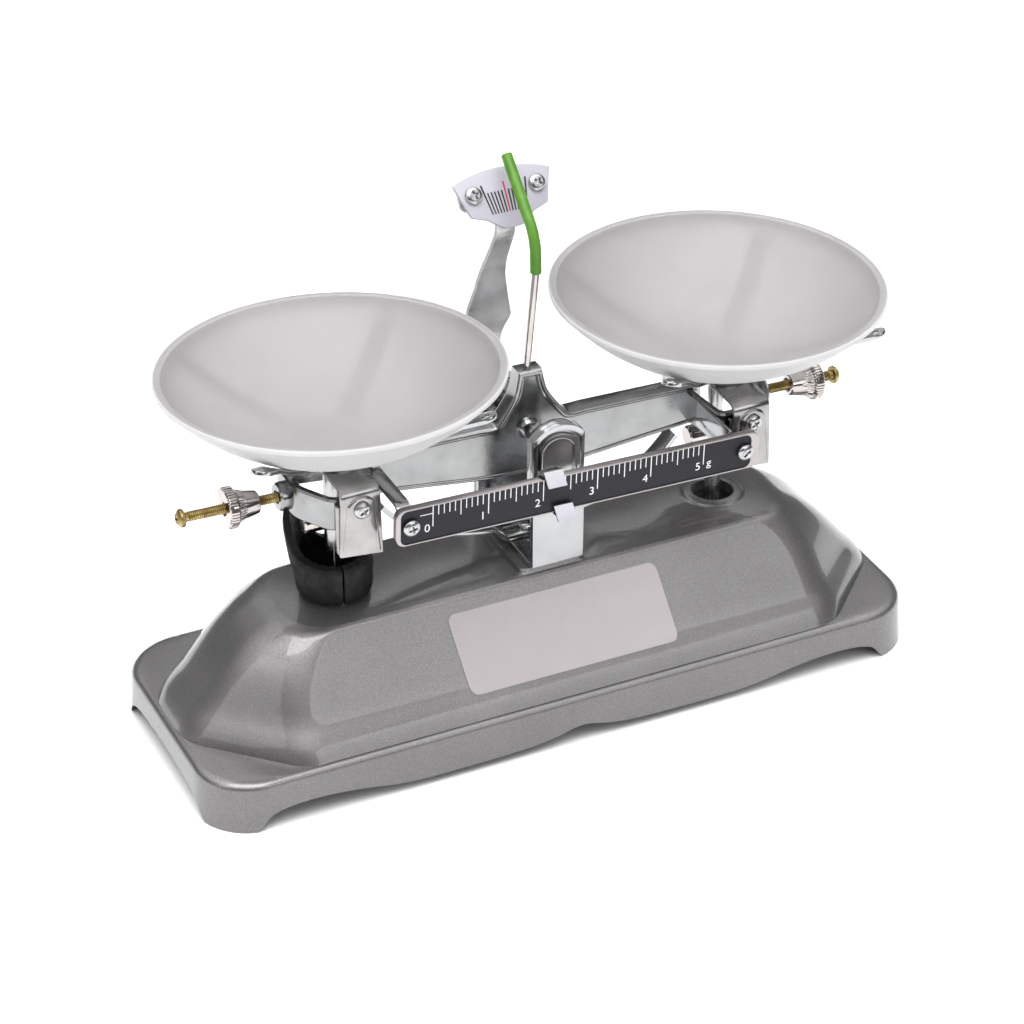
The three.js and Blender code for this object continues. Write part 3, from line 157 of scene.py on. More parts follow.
def makeCoat(name, colours, mask, rough, bump=None, worn=None, stretch=(1, 1, 1), **constants):
    # a mask is a noise's scale and detail and the two values that it is spread between; a bump is its depth and
    # strength and then the scale, detail and share of each of its noises
    finish = Finish(name, **constants)
    patches = finish.spread(finish.noise(*mask[:2], stretch), *mask[2:])
    finish.feed("Base Color", finish.blend(patches, *((*colour, 1) for colour in colours)))
    wear = finish.spread(finish.noise(*worn[:2]), *worn[2:]) if worn else patches
    finish.feed("Roughness", finish.spread(wear, 0, 1, *rough))
    if bump:
        finish.bump(sum(finish.noise(scale, detail) * share for scale, detail, share in bump[2:]), *bump[:2])
    return finish.material


def makeInk(name, colour):
    printed = (colour, [min(1, c * 1.35 + 0.01) for c in colour])
    return makeCoat(name, printed, (3000, 2, 0.3, 0.75), (0.45, 0.6), Specular_IOR_Level=0.35)


def makeWhite(name, low, high, rough):
    return makeCoat(name, (low, high), (210, 4, 0.3, 0.7), (rough * 0.85, rough * 1.2),
                    (0.00004, 0.35, (420, 3, 1)), (700, 3, 0.3, 0.7), Coat_Weight=0.3, Coat_Roughness=0.2)


def makeFrosted(name, shade, pink=0.0):
    tone = lambda value: (value * (1 + pink), value * (1 - pink * 0.3), value)
    return makeCoat(name, (tone(shade * 0.94), tone(shade * 1.04)), (38, 4, 0.3, 0.72), (0.4, 0.52),
                    (0.00003, 0.4, (1800, 2, 1)), (1800, 2, 0.3, 0.7), Specular_IOR_Level=0.45, IOR=1.46,
                    Transmission_Weight=0.28, Subsurface_Weight=0.7, Subsurface_Scale=0.005,
                    Subsurface_Radius=(1, 1, 1))


cool = (0.99, 1.0, 1.01)
finishes = {
    "hammer_grey": makeEnamel(),
    "bright_plate": makePlate("brightPlate", 0.47, (0.985, 1.0, 1.015), 0.16, 150, 0.00012),
    "cast_plate": makePlate("castPlate", 0.34, cool, 0.2, 90, 0.00018, 0.1),
    "satinPlate": makePlate("satinPlate", 0.4, (1.02, 1.0, 0.99), 0.24, 200, 0.0001, 0.12),
    "brushedSheet": makePlate("brushedSheet", 0.68, (1.0, 1.0, 1.02), 0.34, 700, 0.00006, 0.1, 0.8),
    "steel": makePlate("turnedSteel", 0.5, cool, 0.24, 500, 0.0001),
    "nickel": makePlate("polishedNickel", 0.52, (1.06, 0.99, 0.96), 0.12, 260, 0.0001, 0.1),
    "border": makePlate("barBorder", 0.42, (1.05, 0.98, 0.98), 0.35, 800, 0.00005),
    # dark clip metal: partly the bare sheared metal, partly painted shade of the hollow between clip and bar
    "clipMetalAndShade": makePlate("clipMetalAndShade", 0.2, (1.05, 1.0, 0.95), 0.35, 600, 0.0001),
    "cutEdge": makePlate("cutEdge", 0.4, (1.0, 1.0, 1.0), 0.4, 1500, 0.0004, 0.2),
    "white_plate": makeWhite("whiteScale", (0.385, 0.37, 0.425), (0.42, 0.405, 0.46), 0.42),
    "white_clip": makeWhite("whiteClip", (0.5, 0.495, 0.55), (0.56, 0.555, 0.61), 0.38),
    "label": makeWhite("blankPlate", (0.345, 0.316, 0.332), (0.36, 0.33, 0.346), 0.4),
    "frosted": makeFrosted("frostedPlastic", 0.63),
    # a darker copy of the frosted plastic for the pans' upward inner faces: painted shade; the lighter copy above
    # is painted light on the outside and rim
    "frostedShadedInside": makeFrosted("frostedShadedInside", 0.382, 0.025),
    "black_bar": makeCoat("blackField", ((0.01, 0.01, 0.014), (0.019, 0.019, 0.025)), (2600, 2, 0.35, 0.7),
                          (0.42, 0.56), (0.00002, 0.4, (1500, 3, 1)), Specular_IOR_Level=0.28),
    "green_plastic": makeCoat("greenSleeve", ((0.06, 0.185, 0.012), (0.105, 0.26, 0.028)), (330, 3, 0.3, 0.7),
                              (0.28, 0.42), (0.00005, 0.3, (500, 2, 1)), stretch=(1, 1, 0.2), Coat_Weight=0.08,
                              Coat_Roughness=0.3, Specular_IOR_Level=0.3),
    "brass": makeCoat("dullBrass", ((0.2, 0.14, 0.05), (0.5, 0.39, 0.17)), (480, 4, 0.3, 0.7), (0.48, 0.26),
                      (0.00003, 0.5, (2200, 3, 1)), Metallic=1.0),
    "rubber": makeCoat("blackRubber", ((0.006, 0.006, 0.006), (0.02, 0.019, 0.018)), (150, 5, 0.55, 0.8),
                       (0.42, 0.75), (0.00025, 0.6, (650, 4, 1), (120, 3, 1.5)), (420, 5, 0.35, 0.7),
                       Specular_IOR_Level=0.3),
    # near-black coat for the inside of the hollow base: painted shade where little light reaches
    "innerShadePaint": makeCoat("innerShadePaint", ([0.012] * 3, [0.026] * 3), (300, 4, 0.3, 0.7), (0.3, 0.45),
                           (0.0001, 0.4, (500, 3, 1)), Coat_Weight=0.4, Coat_Roughness=0.2),
    "blackInk": makeInk("blackInk", (0.012, 0.012, 0.014)),
    "redInk": makeInk("redInk", (0.4, 0.02, 0.05)),
    "whiteInk": makeInk("whiteInk", (0.78, 0.76, 0.78)),
}
print("finishes made:", len(finishes))


# Shaping helpers
def addPiece(name, bm, finish, body, node="", sharp=32, extra=(), seat=None):
    # a piece replaces the node of its own name, where there is one, unless another is given
    move(bm, bodySeat[body] if seat is None else seat)
    faceOut(bm)
    mesh = bpy.data.meshes.new(name)
    bm.to_mesh(mesh)
    bm.free()
    for polygon in mesh.polygons:
        polygon.use_smooth = True
    mesh.set_sharp_from_angle(angle=math.radians(sharp))
    for one in (finish, *extra):
        mesh.materials.append(finishes[one])
    piece = bpy.data.objects.new(name, mesh)
    bpy.context.scene.collection.objects.link(piece)
    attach(piece, body)
    node = node or "".join("_" + letter.lower() if letter.isupper() else letter for letter in name)
    if node in cadNodes:
        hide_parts(node)


def move(bm, matrix, verts=None):
    bmesh.ops.transform(bm, matrix=matrix, verts=verts or bm.verts)


def faceOut(bm):
    bmesh.ops.recalc_face_normals(bm, faces=bm.faces)


def absorb(bm, part):
    mesh = bpy.data.meshes.new("part")
    part.to_mesh(mesh)
    part.free()
    bm.from_mesh(mesh)
    bpy.data.meshes.remove(mesh)


def box(bm, centre, size, radius, steps=2):
    cube = bmesh.ops.create_cube(bm, size=1, matrix=at(*centre) @ Matrix.Diagonal((*size, 1)))
    bevelSharp(bm, radius, steps, 60, {e for v in cube["verts"] for e in v.link_edges})


def loopAt(bm, points):
    verts = [bm.verts.new(p) for p in points]
    return [bm.edges.new(pair) for pair in zip(verts, verts[1:] + verts[:1])]


def bridge(bm, rings):
    # rings of the same number of points, joined point to point
    verts = [bm.verts.new(p) for p in rings[0]]
    loops = [[bm.edges.new(pair) for pair in zip(verts, verts[1:] + verts[:1])]]
    for ring in rings[1:]:
        grown = bmesh.ops.extrude_edge_only(bm, edges=loops[-1])["geom"]
        fresh = {v for v in grown if isinstance(v, bmesh.types.BMVert)}
        verts = [next(e.other_vert(v) for e in v.link_edges if e.other_vert(v) in fresh) for v in verts]
        for vert, point in zip(verts, ring):
            vert.co = point
        loops.append([bm.edges.get(pair) for pair in zip(verts, verts[1:] + verts[:1])])
    return loops


def cap(bm, loop):
    return bmesh.ops.contextual_create(bm, geom=loop)["faces"][0]


def skin(bm, rings):
    loops = bridge(bm, rings)
    cap(bm, loops[0])
    cap(bm, loops[-1])
    return loops


def bevelSharp(bm, width, segments=2, angle=60, edges=None):
    limit = math.radians(angle)
    sharp = [e for e in edges or bm.edges if len(e.link_faces) == 2 and e.calc_face_angle(0) > limit]
    bmesh.ops.bevel(bm, geom=sharp, offset=width, offset_type="OFFSET", segments=segments, profile=0.5,
                    affect="EDGES", clamp_overlap=True, material=-1)


def spun(bm, profile, steps, seat=Matrix()):
    before = set(bm.verts)
    points = [bm.verts.new((radius, 0, height)) for radius, height in profile]
    edges = [bm.edges.new(pair) for pair in zip(points, points[1:])]
    bmesh.ops.spin(bm, geom=points + edges, axis=(0, 0, 1), cent=(0, 0, 0), angle=2 * math.pi, steps=steps,
                   use_merge=True, use_duplicate=False)
    bmesh.ops.remove_doubles(bm, verts=[v for v in bm.verts if v not in before], dist=1e-5)
    move(bm, seat, [v for v in bm.verts if v not in before])


def mirrored(profile):
    return [(radius, -height) for radius, height in reversed(profile)] + profile


def fill(bm, edges):
    bmesh.ops.triangle_fill(bm, use_beauty=True, use_dissolve=False, edges=edges, normal=(0, 0, 1))


def flatPlate(bm, outline, holes=()):
    edges = loopAt(bm, [(*p, 0) for p in outline])
    for hole in holes:
        edges += loopAt(bm, [(*p, 0) for p in hole])
    fill(bm, edges)


def cutAcross(bm, axis, places):
    normal = Vector([float(i == axis) for i in range(3)])
    for place in places:
        bmesh.ops.bisect_plane(bm, geom=bm.verts[:] + bm.edges[:] + bm.faces[:], dist=1e-4,
                               plane_co=normal * place, plane_no=normal)


def giveWall(bm, thickness, radius=None):
    faceOut(bm)
    bmesh.ops.solidify(bm, geom=bm.faces[:], thickness=thickness)
    if radius:
        faceOut(bm)
        bevelSharp(bm, radius)


def sweep(bm, path, section, side, widths=None):
    side = Vector(side)
    path = [Vector(p) for p in path]
    rings = []
    for i, point in enumerate(path):
        out = (path[i + 1] - point).normalized() if i + 1 < len(path) else None
        into = (point - path[i - 1]).normalized() if i else out
        out = out or into
        along = (into + out).normalized()
        up = along.cross(side) / max(0.5, along.dot(out))
        width = widths[i] if widths else 1
        rings.append([point + side * (u * width) + up * v for u, v in section])
    return skin(bm, rings)


def arc(radius, count, first=0.0, last=360.0, centre=(0, 0), closed=False):
    steps = count - 1 if closed else count
    angles = [math.radians(first + (last - first) * i / steps) for i in range(count)]
    return [(centre[0] + radius * math.cos(a), centre[1] + radius * math.sin(a)) for a in angles]


def roundedBox(halfWidth, halfHeight, radius, steps=4):
    points = []
    for sx, sy, first in ((1, -1, -90), (1, 1, 0), (-1, 1, 90), (-1, -1, 180)):
        centre = (sx * (halfWidth - radius), sy * (halfHeight - radius))
        points += arc(radius, steps + 1, first, first + 90, centre, closed=True)
    return points


def rounded(line, radius, steps=6):
    points = [Vector(p) for p in line]
    out = [points[0]]
    for before, corner, after in zip(points, points[1:], points[2:]):
        reach = min(radius, (before - corner).length / 2, (after - corner).length / 2)
        start = corner + (before - corner).normalized() * reach
        end = corner + (after - corner).normalized() * reach
        for i in range(steps + 1):
            t = i / steps
            out.append(start * (1 - t) ** 2 + corner * 2 * t * (1 - t) + end * t * t)
    out.append(points[-1])
    return out


def between(points, place):
    # a smooth curve through a row of points, read at one place
    if place >= points[-1][0]:
        return points[-1][1]
    if place <= points[0][0]:
        return points[0][1]
    i = max(k for k, point in enumerate(points) if point[0] <= place)
    x0, y0 = points[i]
    x1, y1 = points[i + 1]
    before = points[i - 1] if i else (2 * x0 - x1, y1)
    after = points[i + 2] if i + 2 < len(points) else points[i + 1]
    t = (place - x0) / (x1 - x0)
    slope0 = (y1 - before[1]) / (x1 - before[0]) * (x1 - x0)
    slope1 = (after[1] - y0) / (after[0] - x0) * (x1 - x0)
    return ((2 * t ** 3 - 3 * t ** 2 + 1) * y0 + (t ** 3 - 2 * t ** 2 + t) * slope0
            + (3 * t ** 2 - 2 * t ** 3) * y1 + (t ** 3 - t ** 2) * slope1)


def smoothLine(points, steps):
    rows = [Vector(p) for p in points]
    out = []
    for i in range(len(rows) - 1):
        p0, p1, p2, p3 = rows[max(i - 1, 0)], rows[i], rows[i + 1], rows[min(i + 2, len(rows) - 1)]
        for k in range(steps):
            t = k / steps
            out.append((p1 * 2 + (p2 - p0) * t + (p0 * 2 - p1 * 5 + p2 * 4 - p3) * t * t
                        + (p1 * 3 - p0 - p2 * 3 + p3) * t ** 3) / 2)
    return out + [rows[-1]]


def arched(halfWidth, bottom, shoulder, top):
    rise = top - shoulder
    radius = (halfWidth ** 2 + rise ** 2) / (2 * rise)
    spread = math.degrees(math.asin(min(1, halfWidth / radius)))
    crown = arc(radius, 15, 90 - spread, 90 + spread, (0, top - radius), closed=True)
    return [(-halfWidth, bottom), (halfWidth, bottom)] + crown


# a drawing in x and y stood up in x and z, its front towards -Y or +Y, and an axis laid outwards along X
upright, uprightRear = Matrix.Rotation(math.pi / 2, 4, "X"), Matrix.Rotation(-math.pi / 2, 4, "X")
outwards = {side: Matrix.Rotation(side * math.pi / 2, 4, "Y") for side in (-1, 1)}


def at(x, y, z):
    return Matrix.Translation((x, y, z))


def stripBetween(line, thickness, halfWidth, side="x"):
    # a bent strip: its centre line runs in the plane across the side axis
    bm = bmesh.new()
    axis = (1, 0, 0) if side == "x" else (0, 1, 0)
    path = [(0, a, b) if side == "x" else (a, 0, b) for a, b in line]
    sweep(bm, path, roundedBox(halfWidth, thickness / 2, min(0.25, thickness * 0.3), 2), axis)
    return bm


# Screws
screwLook = Look(head=2.25, height=1.5, shank=1.2, slot=0.3, slotReach=1.15, slotDepth=0.9)


def screwShape(bm, seat, length, turn=0.0, head=None, height=None, shank=None, thread=None):
    look = screwLook
    head, height, shank = head or look.head, height or look.height, shank or look.shank
    size = head / look.head
    before = set(bm.verts)
    crown = [(head * math.cos(math.radians(a)), height * 0.35 + height * 0.65 * math.sin(math.radians(a)))
             for a in range(0, 56, 11)]
    rim = (look.slotReach * 1.12 * size, height)
    profile = [(0, -length), (shank * 0.75, -length), (shank, -length + 0.4)]
    for i in range(int((length - 1.2) / thread) if thread else 0):
        low = -length + 0.5 + i * thread
        profile += [(shank, low), (shank * 0.84, low + thread * 0.5)]
    profile += [(shank, -0.2), (shank, 0), (head * 0.97, 0), (head, 0.12)] + crown + [rim]
    spun(bm, profile, 36)
    border = [e for e in bm.edges if e.is_boundary and e.verts[0] not in before]
    w, a = look.slot * size, look.slotReach * size
    cross = []
    for k in range(4):
        spin = Matrix.Rotation(math.radians(90 * k + turn), 3, "Z")
        cross += [spin @ Vector(p) for p in ((a, -w, height), (a, w, height), (w * 1.15, w * 1.15, height))]
    top = loopAt(bm, cross)
    fill(bm, border + top)
    low = loopAt(bm, [(p.x * 0.55, p.y * 0.55, height - look.slotDepth * size) for p in cross])
    bmesh.ops.bridge_loops(bm, edges=top + low)
    cap(bm, low)
    move(bm, seat, [v for v in bm.verts if v not in before])


def addScrew(node, body, place, length, turn):
    bm = bmesh.new()
    screwShape(bm, place, length, turn)
    addPiece(node + "Piece", bm, "steel", body, node, 28)


# Base
baseShape = Look(length=100.0, depth=36.2, corner=15.0, skirt=13.7, draft=0.6, lip=1.9, land=0.2, top=40.0,
    topLength=68.0, topDepth=15.4, topCorner=11.5, earCut=16.6, bodyCorner=13.0, wall=2.2, steps=9, along=34,
    across=12, hole=5.4, ring=8.2, ringHeight=0.9, pad=(9.0, 14.5, 1.2), armLength=53.8,
    rises=[0, 0.012, 0.035, 0.08, 0.15, 0.23, 0.31, 0.4, 0.49, 0.57, 0.635, 0.7, 0.76, 0.81, 0.85, 0.88, 0.905,
        0.93, 0.95, 0.965, 0.978, 0.988, 0.996, 1])
bodyProfile = [(0, 0, 0), (0.31, 0.2, 0.3), (0.635, 0.45, 0.61), (0.81, 0.63, 0.78), (0.905, 0.765, 0.87),
               (0.973, 0.89, 0.937), (1, 1, 1)]
sideArch = [(0, 5.24), (3, 4.85), (7.5, 3.7), (16, 2.74), (40, 2.45), (50, 2.96), (62, 4.85), (72, 5.7),
            (80, 5.4), (85, 4.1), (87.2, 1.7), (88.5, 0)]
endArch = [(0, 6.84), (12.6, 6.4), (19.9, 5.4), (23.5, 3.4), (26, 0)]


def cutRectangle(length, depth, cut, radius, height):
    steps, along, across = baseShape.steps, baseShape.along, baseShape.across
    diagonal = (length + depth) / math.sqrt(2) - cut
    reach = (diagonal - radius) * math.sqrt(2)
    low = (length - radius, reach - (length - radius))
    high = (reach - (depth - radius), depth - radius)
    quarter = [(length, low[1] * i / across) for i in range(across)]
    for centre, first in ((low, 0), (high, 45)):
        quarter += arc(radius, steps + 1, first, first + 45, centre, closed=True)
    quarter += [(high[0] * (1 - i / along), depth) for i in range(1, along)]
    outline = quarter + [(0, depth)] + [(-x, y) for x, y in reversed(quarter)]
    outline += [(-x, -y) for x, y in quarter[1:]]
    outline += [(0, -depth)] + [(x, -y) for x, y in reversed(quarter[1:])]
    return [Vector((x, y, height)) for x, y in outline]


def shellRings(inset):
    s = baseShape
    full = lambda radius: radius * (math.sqrt(2) - 1)
    mix = lambda a, b, share: a + (b - a) * share
    length, depth, corner, top = s.length - inset, s.depth - inset, s.corner - inset, s.skirt - inset
    skirt = [(0, 0.0), (s.draft * 0.5, (top - s.lip) * 0.5), (s.draft, top - s.lip)]
    for i in range(1, 6):
        angle = math.pi / 2 * i / 5
        skirt.append((s.draft + s.lip * (1 - math.cos(angle)), top - s.lip * (1 - math.sin(angle))))
    rings = [cutRectangle(length - step, depth - step, full(corner), corner, height) for step, height in skirt]
    foot = s.draft + s.lip + s.land
    low = (length - foot, depth - foot, top + 0.15)
    high = (s.topLength - inset, s.topDepth - inset, s.top - inset)
    for rise in s.rises:
        end = between([(r, e) for r, e, d in bodyProfile], rise)
        side = between([(r, d) for r, e, d in bodyProfile], rise)
        flare = 0.6 * max(0, 1 - rise / 0.1) ** 2.5  # soft foot where the body meets the rim
        rings.append(cutRectangle(mix(low[0], high[0], end) + flare, mix(low[1], high[1], side) + flare,
                                  mix(s.earCut, full(s.topCorner), rise),
                                  mix(s.bodyCorner, s.topCorner, rise), mix(low[2], high[2], rise)))
    return rings


def archHeight(point):
    side = between(sideArch, abs(point.x)) if abs(point.x) < sideArch[-1][0] else 0
    end = between(endArch, abs(point.y)) if abs(point.y) < endArch[-1][0] else 0
    return max(0, side if abs(point.y) > 30 else end)


def makeBase():
    s = baseShape
    bm = bmesh.new()
    loops = bridge(bm, list(reversed(shellRings(s.wall))) + shellRings(0))
    for vert in bm.verts:
        if vert.co.z < 8:
            lift = archHeight(vert.co) * (1 - vert.co.z / 8)
            axis = 1 if abs(vert.co.y) > 30 else 0
            vert.co[axis] -= math.copysign(s.draft * lift / (s.skirt - s.lip), vert.co[axis])
            vert.co.z += lift
    top, under = s.top, s.top - s.wall
    middleX = knife.x * 1000
    outerEdges, underEdges = list(loops[-1]), list(loops[0])
    collar = [(s.ring + 0.5, top), (s.ring + 0.1, top + 0.12), (s.ring - 0.25, top + s.ringHeight * 0.7),
              (s.ring - 0.7, top + s.ringHeight), (s.hole + 0.3, top + s.ringHeight), (s.hole, top + 0.6),
              (s.hole, under)]
    for x in (middleX - s.armLength, middleX + s.armLength):
        rings = bridge(bm, [[(px, py, z) for px, py in arc(radius, 48, centre=(x, 0))] for radius, z in collar])
        outerEdges += rings[0]
        underEdges += rings[-1]
    halfX, halfY, rise = s.pad
    padAt = lambda grow, z: [(middleX + px, py, z) for px, py in roundedBox(halfX + grow, halfY + grow, 1.5)]
    steps = ((0.4, 0), (0, 0.4), (-0.1, rise - 0.3), (-0.4, rise))
    pad = bridge(bm, [padAt(grow, top + step) for grow, step in steps])
    cap(bm, pad[-1])
    outerEdges += pad[0]
    fill(bm, outerEdges)
    fill(bm, underEdges)
    bmesh.ops.remove_doubles(bm, verts=bm.verts, dist=1e-4)
    faceOut(bm)
    # inward faces of the shell take the near-black coat: painted shade inside the hollow base
    for face in bm.faces:
        centre = face.calc_center_median()
        outward = Vector((centre.x / s.length, centre.y / s.depth, centre.z / s.top))
        face.material_index = 1 if face.normal.dot(outward) < -0.05 and 1 < centre.z < top - 1 else 0
    addPiece("baseShell", bm, "hammer_grey", "stand", sharp=40, extra=("innerShadePaint",), seat=mm)


# the plate on the front slope stays bare
namePlate = Look(left=-29.9, right=28.6, top=36.6, bottom=19.2, corner=2.0, thick=0.3, skew=1.6)


def slopeDepth(height):
    low = baseShape.skirt + 0.15
    rise = (height - low) / (baseShape.top - low)
    steps = baseShape.rises
    i = max(k for k, step in enumerate(steps[:-1]) if step <= rise)
    low, high = (between([(r, d) for r, e, d in bodyProfile], step) for step in steps[i:i + 2])
    share = low + (high - low) * (rise - steps[i]) / (steps[i + 1] - steps[i])
    foot = baseShape.depth - baseShape.draft - baseShape.lip - baseShape.land
    return foot + (baseShape.topDepth - foot) * share


def makeNamePlate():
    look = namePlate
    bm = bmesh.new()
    halfWidth, halfHeight = (look.right - look.left) / 2, (look.top - look.bottom) / 2
    flatPlate(bm, roundedBox(halfWidth, halfHeight, look.corner, 6))
    cutAcross(bm, 1, [halfHeight * (i / 12 - 1) for i in range(1, 24)])
    for vert in bm.verts:
        height = look.bottom + halfHeight + vert.co.y
        skew = look.skew * (halfHeight - vert.co.y) / (2 * halfHeight)
        vert.co = (look.left + halfWidth + vert.co.x + skew, -slopeDepth(height) - look.thick, height)
    grown = bmesh.ops.extrude_face_region(bm, geom=bm.faces[:])["geom"]
    behind = [v for v in grown if isinstance(v, bmesh.types.BMVert)]
    bmesh.ops.translate(bm, vec=(0, 2 * look.thick, 0), verts=behind)
    addPiece("namePlate", bm, "label", "stand", sharp=50, seat=mm)


# Bearing bracket
bracketLook = Look(halfWidth=7.2, aside=0.9, halfDepth=15.8, bottom=41.2, sheet=1.5, shoulder=78.4, top=82.2,
    rearTop=79.4, hoodWall=1.2, hoodDepth=2.2, hoodBottom=63.0, window=(4.3, 60.5, 75.0, 78.0),
    groove=(6.1, 59.6, 77.0, 80.6))


def makeBracket():
    look = bracketLook
    bm = bmesh.new()
    front = -look.halfDepth
    seat = columnSeat @ at(look.aside, 0, 0)
    stand = lambda outline, y: [(x, y, z) for x, z in outline]
    grow = lambda shape, step: arched(shape[0] + step, shape[1] - step, shape[2], shape[3] + step)
    rim, groove, window = (look.halfWidth, look.bottom + 0.7, look.shoulder, look.top), look.groove, look.window
    # the front's outline, how far it is grown and how deep it lies
    rows = [(rim, 0, look.sheet), (rim, 0, 0.35), (rim, -0.12, 0.1), (rim, -0.4, 0), (groove, 0.2, 0),
            (groove, 0, 0.75), (groove, -0.8, 0.75), (groove, -1.05, 0), (window, 0.35, 0), (window, 0.05, 0.2),
            (window, 0, 0.95)]
    skin(bm, [stand(grow(shape, step), front + deep) for shape, step, deep in rows])
    depth, half = look.hoodDepth, look.hoodWall / 2
    crown = arched(look.halfWidth - half, look.hoodBottom, look.shoulder, look.top - half)
    section = roundedBox(depth / 2, half, 0.35, 3)
    sweep(bm, stand(crown[1:] + crown[:1], front + look.sheet + depth / 2 - 0.1), section, (0, 1, 0))
    addPiece("bracketFront", bm, "bright_plate", "stand", "bearing_bracket", 38, seat=seat)
    line = rounded([(front + 0.85, look.bottom + 3), (front + 0.85, look.bottom + 0.8),
                    (-front - 0.75, look.bottom + 0.8), (-front - 0.75, look.bottom + 6)], 1.2)
    floor = stripBetween(line, look.sheet - 0.1, look.halfWidth - 0.02)
    addPiece("bracketFloor", floor, "bright_plate", "stand", "bearing_bracket", seat=seat)
    bm = bmesh.new()
    flatPlate(bm, arched(look.halfWidth, look.bottom + 3, look.rearTop - 3.4, look.rearTop))
    move(bm, at(0, look.halfDepth, 0) @ upright)
    giveWall(bm, look.sheet)
    bevelSharp(bm, 0.2, 2, 50)
    addPiece("bracketRear", bm, "bright_plate", "stand", "bearing_bracket")


# Scale upright and pointer scale
scaleLook = Look(offset=1.0, tilt=36.0, sheet=1.2, turnY=11.4, turnZ=123.6, headLength=12.6, crossHalf=10.6,
    crossStart=6.2, thick=1.0, screwX=8.6, screwPlace=9.8, low=[(2.5, 0.5), (6.4, 3.2), (10.4, 4.6)],
    corner=(13.2, 13.2), crown=15.6, screwTop=1.6)
uprightLook = Look(halfDepth=15.8, bottom=46.0, leanStart=77.0, rearY=22.5, rearLow=87.0, rearHigh=96.0,
    kink=(19.4, 108.6),
    outline=[(6.75, 46), (6.75, 74), (5.6, 76.4), (3.4, 80), (2.6, 83.5), (3.4, 88), (5.9, 92.2), (6.2, 93.4)],
    throat=[(5.6, 96.6), (4.6, 101), (3.5, 106), (2.9, 111), (2.6, 116), (2.5, 124)],
    straight=[(5.8, 96.6), (4.7, 101), (3.9, 106), (3.2, 111), (2.8, 116), (2.5, 124)])


def slopePoint(place, lift):
    s, c = math.sin(math.radians(scaleLook.tilt)), math.cos(math.radians(scaleLook.tilt))
    return scaleLook.turnY + place * s - lift * c, scaleLook.turnZ + place * c + lift * s


def scaleSeat(x, place, lift):
    y, z = slopePoint(place, lift)
    return at(x, y, z) @ Matrix.Rotation(math.radians(90 - scaleLook.tilt), 4, "X")


def makeUpright():
    look, head = uprightLook, scaleLook
    seat = look.halfDepth + head.sheet / 2
    line = rounded([(seat, look.bottom), (seat, look.leanStart), (look.rearY, look.rearLow),
                    (look.rearY, look.rearHigh), look.kink, (head.turnY, head.turnZ),
                    slopePoint(head.headLength, 0)], 4, 8)
    heights = [p[1] for p in line]
    crossLow, crossHigh = slopePoint(head.crossStart, 0)[1], slopePoint(head.headLength, 0)[1]
    barb = smoothLine(look.outline[1:], 4)
    cross = head.crossHalf
    headEdge = [(2.6, crossLow - 0.6), (3.4, crossLow), (cross - 1, crossLow), (cross, crossLow + 1),
                (cross, crossHigh - 0.8), (cross - 0.8, crossHigh)]
    edge = lambda upper: [look.outline[0]] + barb + smoothLine(upper, 4) + headEdge
    bm = bmesh.new()
    flatPlate(bm, edge(look.throat) + [(-x, z) for x, z in reversed(edge(look.straight))])
    cutAcross(bm, 1, [look.bottom + i for i in range(1, int(crossHigh - look.bottom))] + heights[1:-1])
    for vert in bm.verts:
        z = vert.co.y
        i = max([k for k, h in enumerate(heights[:-1]) if h <= z + 1e-6] or [0])
        share = (z - heights[i]) / max(1e-6, heights[i + 1] - heights[i])
        y = line[i][0] + (line[i + 1][0] - line[i][0]) * min(1, share)
        vert.co = (vert.co.x, y, z)
    bmesh.ops.translate(bm, vec=(0, 0.6, 0), verts=bm.verts)
    giveWall(bm, head.sheet, 0.15)
    for face in bm.faces:
        face.material_index = 1 if face.normal.x < -0.75 else 0
    addPiece("scaleUpright", bm, "brushedSheet", "stand", sharp=35, extra=("cutEdge",))


def tickQuad(bm, low, high, lowWidth, highWidth, lift):
    # one printed line on a drawing in x and y
    low, high = Vector(low), Vector(high)
    across = Vector((-(high - low).y, (high - low).x)).normalized()
    corners = [low + across * lowWidth / 2, low - across * lowWidth / 2, high - across * highWidth / 2,
               high + across * highWidth / 2]
    verts = [bm.verts.new((p.x, p.y, lift)) for p in corners]
    return bm.faces.new(verts)


scaleMarks = Look(spread=0.94, low=4.3, high=9.8, highLong=11.9, width=0.42, gatherLow=0.82)


